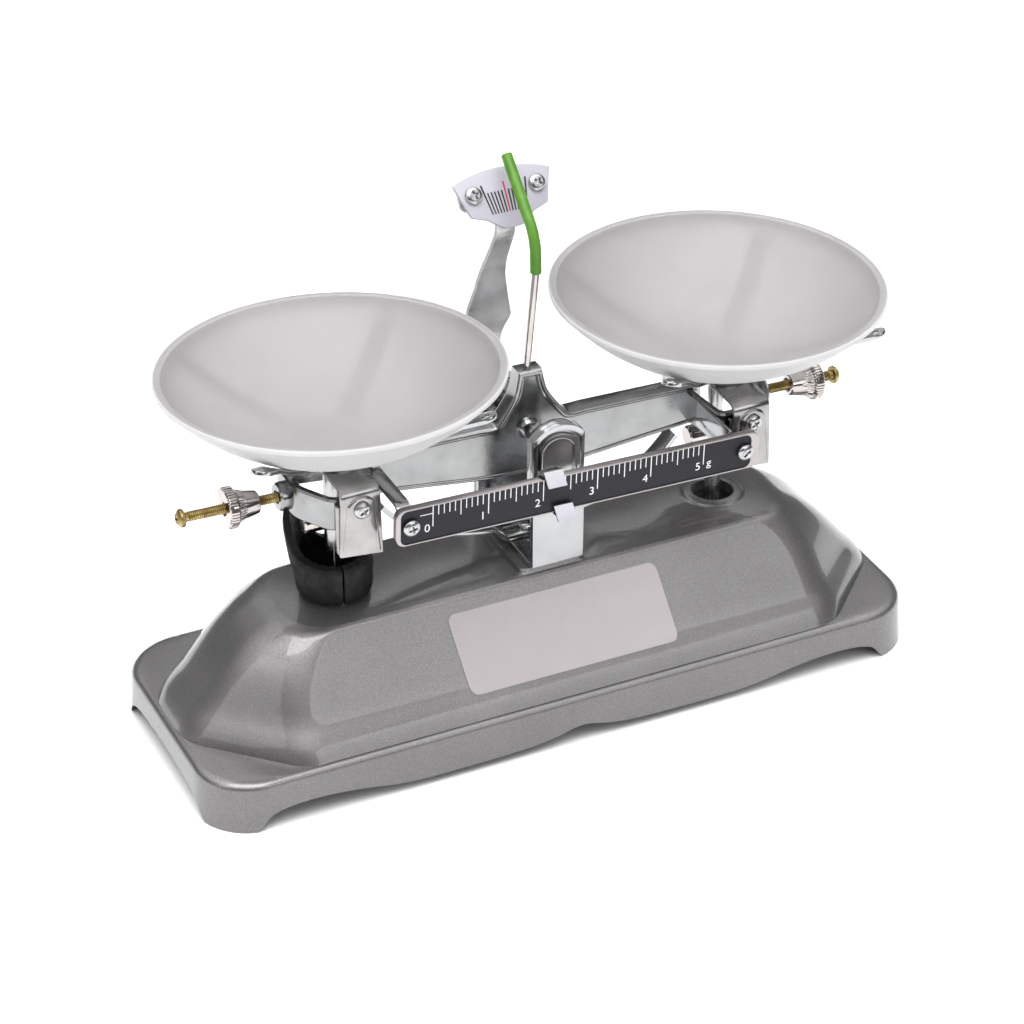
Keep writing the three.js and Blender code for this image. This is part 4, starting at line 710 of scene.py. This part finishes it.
def makePointerScale():
    look, marks = scaleLook, scaleMarks
    cornerX, cornerPlace = look.corner
    low = look.low
    crown = [(cornerX * math.sin(a) / math.sin(0.7), look.crown - (look.crown - cornerPlace)
              * (1 - math.cos(a)) / (1 - math.cos(0.7))) for a in [0.7 - 1.4 * i / 16 for i in range(17)]]
    outline = [(0, low[0][1] - 0.25)] + [Vector(p) for p in smoothLine(low[:2], 3)] + [low[2]] + crown
    outline += [(-low[2][0], low[2][1])] + [Vector((-p[0], p[1])) for p in reversed(smoothLine(low[:2], 3))]
    bm = bmesh.new()
    flatPlate(bm, outline)
    giveWall(bm, look.thick, 0.14)
    lowZ = min(v.co.z for v in bm.verts)
    bmesh.ops.translate(bm, vec=(0, 0, -lowZ), verts=bm.verts)
    lift = look.sheet / 2 + 0.02
    move(bm, scaleSeat(look.offset, 0, lift))
    addPiece("pointerScale", bm, "white_plate", "stand", sharp=50)
    bm = bmesh.new()
    top = look.thick + 0.03
    for i in range(-6, 7):
        far, long = i * marks.spread, abs(i) == 6
        near = far * marks.gatherLow
        high = marks.highLong if long or i == 0 else marks.high
        slope = (high - marks.low) / (marks.high - marks.low)
        end = near + (far - near) * slope
        wide = marks.width * (1.2 if long else 1)
        face = tickQuad(bm, (near, marks.low), (end, high), marks.width * 0.8, wide, top)
        face.material_index = int(i == 0)
    move(bm, scaleSeat(look.offset, 0, lift))
    addPiece("pointerMarks", bm, "blackInk", "stand", sharp=50, extra=("redInk",))
    for side, turn, node in ((-1, 20, "left_scale_screw"), (1, 55, "right_scale_screw")):
        place = scaleSeat(look.offset + side * look.screwX, look.screwPlace, look.screwTop + 0.05)
        addScrew(node, "stand", place, look.thick + 2 * look.sheet, turn)


# Beam stop
stopLook = Look(thick=1.2, half=2.5, flat=7.0, tip=(41.2, 61.7), low=43.3,
    shares=[(0.05, 0.085), (0.12, 0.16), (0.4, 0.27), (0.66, 0.45), (0.85, 0.7), (1, 1)])


def makeBeamStop():
    look = stopLook
    run, rise = look.tip[0] - look.flat, look.tip[1] - look.low
    arm = [(look.flat + a * run, look.low + u * rise) for a, u in look.shares]
    right = smoothLine([(look.flat, look.low)] + arm, 6)
    line = [(-p[0], p[1]) for p in reversed(right)] + [tuple(p) for p in right]
    bm = stripBetween(line, look.thick, look.half, "y")
    addPiece("beamStop", bm, "bright_plate", "stand")


# Transit sleeve
sleeveLook = Look(radius=9.4, wall=2.6, height=10.2, flapRise=10.6, flapLean=3.4, bulge=0.5, slitHalf=1.6,
    slit=262.0, flap=140.0, flapSpread=52.0, around=84, up=16)


def makeSleeve():
    look = sleeveLook
    bm = bmesh.new()
    bottom = baseShape.top + baseShape.ringHeight
    ragged = lambda a, k: math.sin(a * 0.11 * k + k) * 0.5 + math.sin(a * 0.23 * k) * 0.3

    def point(u, v, inner):
        angle = look.slit + look.slitHalf + u * (360 - 2 * look.slitHalf)
        away = abs(((angle - look.flap + 540) % 360) - 180) / look.flapSpread
        flap = math.cos(away * math.pi / 2) ** 2 if away < 1 else 0
        height = look.height + flap * look.flapRise + v * ragged(angle, 3) * 0.35
        lean = math.sqrt(flap) * look.flapLean * v ** 1.5 + look.bulge * math.sin(v * math.pi)
        seam = 0.35 * math.exp(-((abs(angle - look.slit) % 360) / 5) ** 2)
        wrinkle = 0.16 * math.sin(angle * 0.17 + v * 9) * math.sin(v * math.pi) - seam
        wall = look.wall * (1 - 0.25 * v * flap)
        radius = look.radius + lean + (wrinkle if not inner else -wall)
        if not inner and (v < 0.03 or v > 0.97):
            radius -= 0.35
        a = math.radians(angle)
        return (radius * math.cos(a), radius * math.sin(a), bottom + v * height)

    rings = []
    levels = [i / look.up for i in range(look.up)] + [0.985, 1]
    for i in range(look.around + 1):
        u = i / look.around
        rings.append([point(u, v, False) for v in levels] + [point(u, v, True) for v in reversed(levels)])
    skin(bm, rings)
    addPiece("transitSleeve", bm, "rubber", "stand", sharp=55, seat=columnSeat @ at(-baseShape.armLength, 0, 0))


# Beam casting, drawn about the centre knife edge
beamLook = Look(armTop=2.4, neckTop=16.4, neckHalf=1.6, neckShift=-0.85, bottomMiddle=-10.1, bottomEnd=-6.2,
    end=45.5, web=3.2, bead=(5.4, 1.9), lowerBead=(4.2, 1.1),
    neck=[(6.0, 0), (4.25, 0.19), (2.6, 0.457), (1.66, 0.66), (1.16, 0.89), (1, 1)],
    yokeX={-1: (43.6, 49.2, 60.2, 66.0), 1: (44.6, 46.4, 60.2, 66.0)}, yokeY=(2.0, 15.5, 15.5, 6.0),
    yokeBar=2.2, yokeBottom=-6.8, yokeTop=1.8, rodHeight=-3.5, rodBoss=(3.7, 2.2), socket=(1.5, 6.0),
    knifeBoss=(2.7, 3.4, 1.8, -0.9))


def yokeRing(side, step):
    x, y = beamLook.yokeX[side], beamLook.yokeY
    shares = ((1, 0.2), (0.75, 1), (-0.55, 1), (-1, 0.35))
    half = [(px + step * along, py - step * aside) for px, py, (along, aside) in zip(x, y, shares)]
    outline = half + [(a, -b) for a, b in reversed(half)]
    middle = ((outline[0][0] + outline[-1][0]) / 2, 0)
    closed = [middle] + outline + [middle]
    return [(side * p[0], p[1]) for p in rounded(closed, 2.4 - step * 0.35, 4)[:-1]]


def makeBeam():
    look = beamLook
    bm = bmesh.new()
    rise = look.neckTop - look.armTop
    neck = smoothLine([(9.4, 0)] + look.neck, 5)
    flank = lambda hand: [(hand * p[0] * look.neckHalf + p[1] * look.neckShift, look.armTop + p[1] * rise)
                          for p in neck]
    top = [(look.end, look.armTop)] + flank(1) + flank(-1)[::-1] + [(-look.end, look.armTop)]
    drop = look.bottomMiddle - look.bottomEnd
    shares = [(-1, 0), (-0.6, 0.5), (-0.3, 0.88), (0, 1), (0.3, 0.88), (0.6, 0.5), (1, 0)]
    bottom = [tuple(p) for p in smoothLine([(a * look.end, look.bottomEnd + d * drop) for a, d in shares], 5)]
    flatPlate(bm, top + bottom)
    move(bm, at(0, look.web / 2, 0) @ upright)
    giveWall(bm, look.web)
    for line, (width, thick), share, steps in ((top, look.bead, 0.48, 4), (bottom, look.lowerBead, 0.45, 3)):
        section = [(u, v - thick / 2) for u, v in roundedBox(width / 2, thick / 2, thick * share, steps)]
        sweep(bm, [(x, 0, z) for x, z in line], section, (0, 1, 0))
    radius, depth = look.socket
    spun(bm, [(0, look.neckTop - depth), (radius, look.neckTop - depth + 1), (radius, look.neckTop - 0.5),
              (radius - 0.5, look.neckTop), (1.1, look.neckTop), (0.95, look.neckTop - 1.5),
              (0, look.neckTop - 1.5)], 32, at(look.neckShift - 0.2, 0, 0))
    radius, half, height, aside = look.knifeBoss
    edge = [(radius + 0.6, 1.2), (radius, half - 1.2), (radius - 0.3, half - 0.4), (radius - 1, half),
            (0, half)]
    spun(bm, mirrored(edge), 40, at(aside, 0, height) @ uprightRear)
    for side in (-1, 1):
        low, high, bar = look.yokeBottom, look.yokeTop, look.yokeBar
        rows = [(bar, low + 0.5), (bar - 0.45, low), (0.45, low), (0, low + 0.5),
                (0, high - 0.5), (0.45, high), (bar - 0.45, high), (bar, high - 0.5)]
        loops = bridge(bm, [[(x, y, z) for x, y in yokeRing(side, inset)] for inset, z in rows])
        bmesh.ops.bridge_loops(bm, edges=loops[-1] + loops[0])
        radius, length = look.rodBoss
        face, inside = look.yokeX[side][3] + length, look.yokeX[side][3] - 3.1
        spun(bm, [(0, inside), (radius, inside), (radius, face - 0.5), (radius - 0.5, face),
                  (1.75, face), (1.6, face - 1.2), (0, face - 1.2)], 32,
             at(0, 0, look.rodHeight) @ outwards[side])
    addPiece("beamCasting", bm, "cast_plate", "beam_assembly", "beam", 40)


# Pointer
# leans: a height and how far aside the bent rod stands there
pointerLook = Look(rod=0.95, sleeve=1.42, bore=1.05, start=44.2, bend=54.4, radius=5.0, lean=49.0, length=22.0,
    rodFrom=10.6, rodTo=51.4, leans=[(17, -1.1), (44.6, 0.7), (58, 0)])


def leanAside(bm):
    for vert in bm.verts:
        places = pointerLook.leans
        z = min(max(vert.co.z, places[0][0]), places[-1][0])
        (low, first), (high, second) = next(pair for pair in zip(places, places[1:]) if z <= pair[1][0])
        vert.co.x += first + (second - first) * (z - low) / (high - low)


def makePointer():
    look = pointerLook
    bm = bmesh.new()
    rod = [(look.rod * 0.8, look.rodFrom), (look.rod, look.rodFrom + 0.3), (look.rod, look.rodTo - 0.3)]
    spun(bm, [(0, look.rodFrom)] + rod + [(look.rod * 0.8, look.rodTo), (0, look.rodTo)], 24)
    cutAcross(bm, 2, range(13, 51, 3))
    leanAside(bm)
    addPiece("pointerRod", bm, "nickel", "beam_assembly")
    lean = math.radians(look.lean)
    end = (look.length * math.sin(lean), look.bend + look.length * math.cos(lean))
    line = rounded([(0, look.start), (0, look.bend), end], look.radius, 10)
    line = [line[0] + (line[1] - line[0]) * k / 6 for k in range(6)] + line[1:-1] + \
        [line[-2] + (line[-1] - line[-2]) * k / 9 for k in range(1, 10)]
    bm = bmesh.new()
    path = [Vector((0, a, b)) for a, b in line]
    rings = []
    for i, point in enumerate(path):
        along = (path[min(i + 1, len(path) - 1)] - path[max(i - 1, 0)]).normalized()
        up = along.cross(Vector((1, 0, 0)))
        uneven = 1 + 0.012 * math.sin(i * 1.7)
        rings.append([point + Vector((x * uneven, 0, 0)) + up * y * uneven for x, y in arc(look.sleeve, 24)])
    shrink = lambda ring, size: [ring[0].lerp(ring[12], 0.5).lerp(p, size) for p in ring]
    share = look.bore / look.sleeve
    first, last = rings[0], rings[-1]
    inFirst = [p + Vector((0, 0, 1.2)) for p in shrink(first, share)]
    back = (path[-2] - path[-1]).normalized() * 1.5
    inLast = [p + back for p in shrink(last, share)]
    lower = [inFirst, shrink(first, share), shrink(first, 0.93), [p + Vector((0, 0, 0.12)) for p in first]]
    upper = [[p + back * 0.08 for p in last], shrink(last, 0.93), shrink(last, share), inLast]
    skin(bm, lower + rings[1:-1] + upper)
    leanAside(bm)
    addPiece("pointerSleeve", bm, "green_plastic", "beam_assembly", sharp=45)


# Rider bar with its printed scale
barLook = Look(offset=2.7, length=100.0, height=10.3, thick=2.0, front=-25.0, z=-4.1, corner=2.6, rebate=0.3,
    border=0.42, leftBorder=1.2, rightBorder=2.3, screws=46.0, zero=-37.45, gram=14.88, short=2.9, half=4.3,
    long=5.9, line=0.23, digit=3.1)


def digitShape(bm, text, size, seat):
    curve = bpy.data.curves.new("digit", "FONT")
    curve.body, curve.size, curve.extrude = text, size, 0.01
    curve.align_x, curve.align_y = "CENTER", "CENTER"
    holder = bpy.data.objects.new("digit", curve)
    mesh = bpy.data.meshes.new_from_object(holder)
    before = set(bm.verts)
    bm.from_mesh(mesh)
    move(bm, seat, [v for v in bm.verts if v not in before])
    bpy.data.objects.remove(holder)
    bpy.data.curves.remove(curve)
    bpy.data.meshes.remove(mesh)


def makeRiderBar():
    look = barLook
    bm = bmesh.new()
    half, high, radius = look.length / 2, look.height / 2, look.corner
    ring = lambda inset, y: [(look.offset + x, y, look.z + z)
                             for x, z in roundedBox(half - inset, high - inset, radius - inset, 8)]
    left, right = look.leftBorder, look.rightBorder
    field = [(look.offset + (left - right) / 2 + x, look.front + look.rebate, look.z + z)
             for x, z in roundedBox(half - (left + right) / 2, high - look.border, radius * 0.7, 8)]
    lip = [(x, look.front, z) for x, y, z in field]
    front, back = look.front, look.front + look.thick
    loops = bridge(bm, [ring(0.3, back), ring(0.08, back - 0.1), ring(0, back - 0.3), ring(0, front + 0.25),
                        ring(0.06, front + 0.08), ring(0.25, front), lip, field])
    cap(bm, loops[0])
    cap(bm, loops[-1]).material_index = 1
    addPiece("riderBar", bm, "border", "beam_assembly", sharp=40, extra=("black_bar",))
    bm = bmesh.new()
    top = high - look.border
    for i in range(51):
        x = look.zero + look.gram * i / 10
        length = look.long if i % 10 == 0 else look.half if i % 5 == 0 else look.short
        tickQuad(bm, (x, top - length), (x, top - 0.05), look.line, look.line * (1.25 if i % 10 == 0 else 1), 0)
    tickQuad(bm, (look.zero - 3.4, top - 2.2), (look.zero, top - 2.2), look.line, look.line, 0)
    for i in range(6):
        x = look.zero + look.gram * i
        digitShape(bm, str(i), look.digit, at(x - 1.5, top - look.long - 0.35, 0))
    digitShape(bm, "g", look.digit, at(look.zero + look.gram * 5 + 1.6, top - look.long + 0.2, 0))
    move(bm, at(0, front + look.rebate - 0.03, look.z) @ upright)
    addPiece("riderBarMarks", bm, "whiteInk", "beam_assembly", sharp=60)
    for side, turn, node in ((-1, 12, "left_bar_screw"), (1, 40, "right_bar_screw")):
        place = at(look.offset + side * look.screws, look.front + 0.1, look.z) @ upright
        addScrew(node, "beam_assembly", place, look.thick + 1.2, turn)


armLook = Look(sheet=1.0, half=1.9, top=1.0, root=3.2, reach=45.6, apart=0.75, drop=2.6, wall=(-2.3, 7.4))


def makeBarArms():
    look, bar = armLook, barLook
    back = bar.front + bar.thick + 0.8
    level = look.top - look.sheet / 2
    for side, name in ((-1, "left"), (1, "right")):
        screwX = bar.offset + side * bar.screws
        x = side * min(abs(screwX) + look.apart, look.reach)
        if side < 0:
            line = rounded([(-look.root, level), (back, level), (back, bar.z - look.drop)], 2.4, 8)
            bm = stripBetween(line, look.sheet, look.half)
        else:
            bm = bmesh.new()
            height, tall = look.wall
            deep = look.sheet - back - look.root
            box(bm, (0, (back - look.root) / 2, height), (look.sheet, deep, tall), 0.3, 3)
        bmesh.ops.translate(bm, vec=(x, 0, 0), verts=bm.verts)
        ends = sorted((x, screwX + side * look.half))
        box(bm, (sum(ends) / 2, back, bar.z), (ends[1] - ends[0], look.sheet, 2 * look.drop), 0.2)
        addPiece(name + "BarArm", bm, "bright_plate", "beam_assembly")


# Rider clip
# the clip stands at its mass in grams on the bar, a little aside
clipLook = Look(half=2.6, wall=0.7, high=7.7, window=2.6, gap=0.3, fold=0.7, shear=0.3, rear=0.4, mass=2.3,
    aside=-0.3)


def makeRiderClip():
    look, bar = clipLook, barLook
    inner = bar.thick / 2 + look.gap
    outer = inner + look.wall
    slot = bar.height / 2 + look.gap
    bm = bmesh.new()
    outline = [(-outer, look.window), (-inner, look.window), (-inner, slot), (inner, slot), (inner, -slot),
               (-inner, -slot), (-inner, -look.window), (-outer, -look.window), (-outer, -look.high),
               (-inner, -look.high), (-inner, -slot - look.fold), (outer, -slot - look.fold),
               (outer, slot + look.fold), (-inner, slot + look.fold), (-inner, look.high), (-outer, look.high)]
    wider = lambda x, y: x - look.rear if x < 0 and y > 0 else x
    skin(bm, [[(wider(x, y) - z * look.shear, y, z) for y, z in outline] for x in (-look.half, look.half)])
    faceOut(bm)
    # only the front faces are white; sides, rear and edges take the dark clip metal, which is partly bare sheared
    # metal and partly painted shade of the hollow between clip and bar
    for face in bm.faces:
        face.material_index = 0 if face.normal.y < -0.5 and face.calc_center_median().y < -inner else 1
    bevelSharp(bm, 0.16)
    place = bar.zero + look.mass * bar.gram + look.aside
    move(bm, at(place, bar.front + bar.thick / 2, bar.z))
    addPiece("riderClip", bm, "white_clip", "rider_clip", "rider", 40, ("clipMetalAndShade",))


# Balance rods and nuts
rodLook = Look(start=64.6, left=94.2, right=90.1, radius=1.32, head=2.3, headLength=1.7, pitch=0.5, z=-3.5)
nutLook = Look(disc=5.3, discLength=2.8, cone=6.0, wide=4.3, narrow=2.9, bore=1.6, teeth=44, grooves=36,
    left=-77.6, right=79.4)


def makeRods():
    look = rodLook
    for side, name in ((-1, "left"), (1, "right")):
        bm = bmesh.new()
        shank = look[name] - look.headLength
        seat = at(0, 0, look.z) @ outwards[side] @ at(0, 0, shank)
        screwShape(bm, seat, shank - look.start, 25, look.head, look.headLength, look.radius, look.pitch)
        addPiece(name + "BalanceRod", bm, "brass", "beam_assembly", sharp=28)


def makeNuts():
    look = nutLook
    half = (look.discLength + look.cone) / 2
    step = half - look.discLength
    disc, narrow, wide, bore = look.disc, look.narrow, look.wide, look.bore
    # radius, height, depth of the knurling or of the grooves
    rows = [(bore, 0.4 - half), (bore + 0.3, -half), (narrow - 0.4, -half), (narrow, 0.35 - half),
            (narrow + 0.25, 1.4 - half), (wide - 0.6, step - 2.0), (wide - 0.3, step - 1.2, 0.25, look.grooves),
            (wide, step - 0.2, 0.25, look.grooves), (wide, step), (disc - 0.6, step),
            (disc - 0.15, step + 0.35, 0.3), (disc, step + 0.6, 0.5), (disc, half - 0.6, 0.5),
            (disc - 0.15, half - 0.3, 0.3), (disc - 0.6, half), (bore + 0.4, half), (bore, half - 0.4)]

    def ring(radius, z, bite=0.0, teeth=look.teeth):
        points = []
        for i in range(look.teeth * 4):
            a = math.pi * i / (look.teeth * 2)
            reach = radius - max(0.0, math.cos(a * teeth)) * bite
            points.append((reach * math.cos(a), reach * math.sin(a), z))
        return points

    for side, name in ((-1, "left"), (1, "right")):
        bm = bmesh.new()
        loops = bridge(bm, [ring(*row) for row in rows])
        bmesh.ops.bridge_loops(bm, edges=loops[-1] + loops[0])
        move(bm, at(look[name], 0, rodLook.z) @ outwards[side])
        addPiece(name + "BalanceNut", bm, "nickel", name + "_nut", sharp=30)


# Pan carriers, drawn about the end knife edge
carrierLook = Look(inner=17.8, sheet=1.2, half=5.65, top=10.8, bottom=-7.6, slant=1.2, bend=2.8,
    boss=3.3, lift=0.6, bossTop=8.2, screw=5.1, flange=1.5)


def makeCarrier(side):
    look = carrierLook
    mid, top = look.inner + look.sheet / 2, look.top - look.sheet / 2
    low = look.bottom
    bm = bmesh.new()
    line = rounded([(-mid, low - look.slant), (-mid, top), (mid, top), (mid, low - look.slant)], look.bend, 8)
    steps = []
    for a, b in zip(line, line[1:]):
        pieces = 6 if (b - a).length > 6 else 1
        steps += [a + (b - a) * k / pieces for k in range(pieces)]
    path = [Vector((0, p[0], p[1])) for p in steps + [line[-1]]]
    widths = [look.half - 0.55 * min(1, max(0, (p.z - low) / (top - low))) for p in path]
    sweep(bm, path, [(u / look.half, v) for u, v in roundedBox(look.half, look.sheet / 2, 0.3, 3)],
          (1, 0, 0), widths)
    for vert in bm.verts:
        if vert.co.z < low - look.slant + 0.4:
            share = max(0, (look.half - vert.co.x) / (2 * look.half))
            vert.co.z += look.slant * share ** 1.5
    wide, outer, foot = look.boss, look.inner + look.sheet, low + 0.35
    crown = arc(wide, 15, 0, 180, (0, look.bossTop - wide), closed=True)
    outline = [(-wide - 1.1, foot + 0.3), (wide + 1.1, foot - 0.7)] + crown
    for face in (-1, 1):
        stand = lambda grow, lift: [(x * (1 + grow / wide), face * (outer + lift),
                                     z + grow * (0.8 if z > 0 else 0.2)) for x, z in outline]
        skin(bm, [stand(0.55, -0.2), stand(0.5, 0.0), stand(0.2, look.lift * 0.75), stand(0, look.lift)])
        box(bm, (0.1 - look.half, face * (look.inner - 0.35), -0.4), (0.9, look.flange, 13.5), 0.3)
    addPiece(side + "Carrier", bm, "satinPlate", side + "_holder", sharp=40)
    for face, name, turn, stand in ((-1, "front", 30, upright), (1, "rear", 0, uprightRear)):
        place = at(0, face * (look.inner + look.sheet + look.lift + 0.05), look.screw)
        addScrew(side + "_" + name + "_ear_screw", side + "_holder", place @ stand, 3.4, turn)


spiderLook = Look(hub=9.5, hubSheet=1.2, sheet=1.1, half=3.0, tab=2.5, leave=35.0, tip=43.0, tipDrop=4.9,
    hole=0.9, top=10.8)
panLook = Look(radius=42.9, depth=19.5, wall=1.6, seat=14.8, land=2.2, bead=0.45, steps=112,
    lean={"left": (-3.4, 0), "right": (-0.4, 1.15)})  # degrees about X and Y, as the bowls have settled


def bowlRise(r):
    curve = (panLook.radius ** 2 + panLook.depth ** 2) / (2 * panLook.depth)
    return curve - math.sqrt(curve ** 2 - r ** 2), math.asin(r / curve)


def makeSpider(side):
    look = spiderLook
    hubTop = look.top + look.hubSheet

    def armHeight(r):
        hubMid = look.top + look.hubSheet / 2
        start = look.hub * 1.6
        under = lambda q: panLook.seat + bowlRise(q)[0] - (0.3 + look.sheet / 2) / math.cos(bowlRise(q)[1])
        rows = [(0, hubMid), (look.hub * 0.6, hubMid), (look.hub, hubMid)]
        places = [start + (look.leave - start) * i / 4 for i in range(5)]
        rows += [(q, under(q)) for q in places]
        rows += [(look.tip, panLook.seat + panLook.depth - look.tipDrop)]
        i = max(k for k, row in enumerate(rows[:-1]) if row[0] <= r + 1e-6)
        (a, low), (b, high) = rows[i], rows[i + 1]
        return low + (high - low) * (r - a) / (b - a)

    bm = bmesh.new()
    tabAt = look.tip - look.tab
    outline = [(3, -look.half), (look.leave, -look.tab)] + arc(look.tab, 13, -90, 90, (tabAt, 0), closed=True)
    outline += [(look.leave, look.tab), (3, look.half)]
    for angle in (45, 135, 225, 315):
        arm = bmesh.new()
        flatPlate(arm, outline, [arc(look.hole, 16, centre=(tabAt, 0))])
        cutAcross(arm, 0, [3 + i for i in range(1, 40)])
        for vert in arm.verts:
            vert.co.z = armHeight(vert.co.x) + look.sheet / 2
        giveWall(arm, look.sheet, 0.18)
        move(arm, Matrix.Rotation(math.radians(angle), 4, "Z"))
        absorb(bm, arm)
    spun(bm, [(0, look.top), (look.hub - 0.2, look.top), (look.hub, look.top + 0.25),
              (look.hub, hubTop - 0.25), (look.hub - 0.25, hubTop), (0, hubTop)], 48)
    addPiece(side + "Spider", bm, "bright_plate", side + "_holder", sharp=40)


def makePan(side):
    look = panLook
    seatZ, rim, wall = look.seat, look.radius, look.wall
    outer = [(rim * i / 30, seatZ + bowlRise(rim * i / 30)[0]) for i in range(30)]
    high = seatZ + look.depth + wall * 0.6
    edge = [(rim - 0.05, seatZ + look.depth - 0.25), (rim, seatZ + look.depth + 0.1), (rim, high - 0.35),
            (rim - 0.12, high - 0.1), (rim - 0.4, high)]
    land = rim - look.land
    curve = (rim ** 2 + look.depth ** 2) / (2 * look.depth) - wall
    inside = lambda r: seatZ + wall + curve - math.sqrt(curve ** 2 - r ** 2)
    inner = [(land + 0.35, high), (land + 0.1, high - 0.12), (land, high - 0.4)]
    inner += [(land * i / 30, inside(land * i / 30)) for i in range(29, -1, -1)]
    bm = bmesh.new()
    centre = seatZ + curve + wall
    about, across = (math.radians(angle) for angle in look.lean[side])
    spun(bm, outer + edge + inner, look.steps)
    faceOut(bm)
    # upward inner faces take the darker frosted copy, which is painted shade; the outside and the rim bead keep
    # the lighter copy, which is painted light
    for face in bm.faces:
        middle = face.calc_center_median()
        face.material_index = int(face.normal.z > 0.2 and math.hypot(middle.x, middle.y) < rim - look.bead)
    lean = Matrix.Rotation(across, 4, "Y") @ Matrix.Rotation(about, 4, "X")
    move(bm, at(0, 0, centre) @ lean @ at(0, 0, -centre))
    addPiece(side + "Pan", bm, "frosted", side + "_dish", sharp=35, extra=("frostedShadedInside",))


postLook = Look(radius=2.0, top=14.0, bottom=-46.6, eye=(2.8, 1.7, 3.4), nut=(3.4, 1.7), drop=50.0,
    cross=(2.9, 8.2, -7.7))


def makePost(side):
    look = postLook
    bm = bmesh.new()
    spun(bm, [(0, look.bottom - 1.5), (look.radius, look.bottom - 1.5), (look.radius, look.top - 0.4),
              (look.radius - 0.4, look.top), (0, look.top)], 28)
    halfWidth, halfDepth, rise = look.eye
    bore = arc(1.9, 24, centre=(0, -look.drop))
    eye = arc(halfWidth, 13, 180, 360, (0, -look.drop - rise + halfWidth), closed=True)
    eye += [(halfWidth, look.bottom - 0.8), (halfWidth - 0.8, look.bottom), (-halfWidth + 0.8, look.bottom),
            (-halfWidth, look.bottom - 0.8)]
    plate = bmesh.new()
    flatPlate(plate, eye, [bore])
    move(plate, at(0, halfDepth, 0) @ upright)
    giveWall(plate, 2 * halfDepth)
    absorb(bm, plate)
    addPiece(side + "Post", bm, "steel", side + "_holder")
    radius, half, height = look.cross
    bm = bmesh.new()
    spun(bm, mirrored([(radius, half - 0.45), (radius - 0.45, half), (0, half)]), 40,
         at(0, 0, height) @ outwards[1])
    addPiece(side + "CrossBar", bm, "nickel", side + "_holder")


makeBase()
makeNamePlate()
print("base finished")
makeBracket()
makeUpright()
makePointerScale()
makeBeamStop()
makeSleeve()
print("stand finished")
makeBeam()
makePointer()
makeRiderBar()
makeBarArms()
makeRiderClip()
makeRods()
makeNuts()
print("beam finished")
for side in ("left", "right"):
    makeCarrier(side)
    makeSpider(side)
    makePan(side)
    makePost(side)
print("pans and carriers finished")
screwSeats = {"front_bracket_screw": (-9, 42.7, 7.9), "middle_bracket_screw": (0, 43.9, 5.8),
              "rear_bracket_screw": (9, 42.7, 7.9)}
for node, (y, z, length) in screwSeats.items():
    addScrew(node, "stand", at(0, y, z + 0.05), length, 15 * y)
for node, z in (("lower_upright_screw", 52), ("upper_upright_screw", 66)):
    addScrew(node, "stand", at(0, 17.05, z) @ uprightRear, 2.7, z)
print("screws finished")

# Floor, light and camera
stageLook = Look(size=8.0, colour=(0.93, 0.93, 0.93, 1), zenith=1.95, horizon=0.1)
lamps = [
    {"name": "overheadPanel", "place": (-0.25, -0.35, 1.2), "power": 11.0, "size": (1.1, 0.7)},
    {"name": "leftPanel", "place": (-1.3, -0.35, 0.75), "power": 2.0, "size": (0.5, 0.9)},
    {"name": "frontPanel", "place": (0.5, -1.7, 0.9), "power": 5.0, "size": (1.2, 0.6)},
]
cameraLook = Look(place=(-0.31172, -0.64355, 0.49855), yaw=25.41, pitch=32.18, lens=116.45, shift=0.01088)


def makeStage():
    bm = bmesh.new()
    bmesh.ops.create_grid(bm, x_segments=1, y_segments=1, size=stageLook.size / 2)
    mesh = bpy.data.meshes.new("floor")
    bm.to_mesh(mesh)
    bm.free()
    finish = Finish("paleFloor", Roughness=0.8, Specular_IOR_Level=0.2)
    finish.feed("Base Color", finish.blend(finish.noise(3), stageLook.colour, (0.95, 0.95, 0.95, 1)))
    mesh.materials.append(finish.material)
    floor = bpy.data.objects.new("floor", mesh)
    bpy.context.scene.collection.objects.link(floor)
    world = bpy.data.worlds.new("studio")
    world.use_nodes = True
    background = world.node_tree.nodes["Background"]
    sky = Wire(world.node_tree)
    up = sky.node("ShaderNodeSeparateXYZ", values={"Vector": sky.node("ShaderNodeTexCoord", out=0)}, out=2)
    brightness = sky.node("ShaderNodeMapRange", {"interpolation_type": "SMOOTHSTEP"}, {
        "Value": up, 1: 0.4, 2: 0.86, 3: stageLook.horizon, 4: stageLook.zenith})
    world.node_tree.links.new(brightness.socket, background.inputs["Strength"])
    background.inputs["Color"].default_value = (1, 1, 1, 1)
    bpy.context.scene.world = world
    bpy.context.scene.view_settings.view_transform = "Standard"


def makeLamps():
    for lamp in lamps:
        data = bpy.data.lights.new(lamp["name"], "AREA")
        data.shape = "RECTANGLE"
        data.size, data.size_y = lamp["size"]
        data.energy = lamp["power"]
        light = bpy.data.objects.new(lamp["name"], data)
        light.location = lamp["place"]
        aim = Vector((0, 0, 0.06)) - Vector(lamp["place"])
        light.rotation_euler = aim.to_track_quat("-Z", "Y").to_euler()
        bpy.context.scene.collection.objects.link(light)


def makeCamera():
    data = bpy.data.cameras.new("camera")
    data.lens = cameraLook.lens
    data.sensor_width = 36
    data.shift_x = cameraLook.shift
    data.clip_start = 0.01
    camera = bpy.data.objects.new("camera", data)
    camera.location = cameraLook.place
    camera.rotation_euler = (math.radians(90 - cameraLook.pitch), 0, math.radians(-cameraLook.yaw))
    bpy.context.scene.collection.objects.link(camera)
    bpy.context.scene.camera = camera


makeStage()
makeLamps()
makeCamera()

for subpart in frame["record"]["subparts"]:
    node = cadNodes[subpart["node"]]
    node.data.materials.clear()
    node.data.materials.append(finishes[subpart["material_slot"]])
print("inner nodes finished")
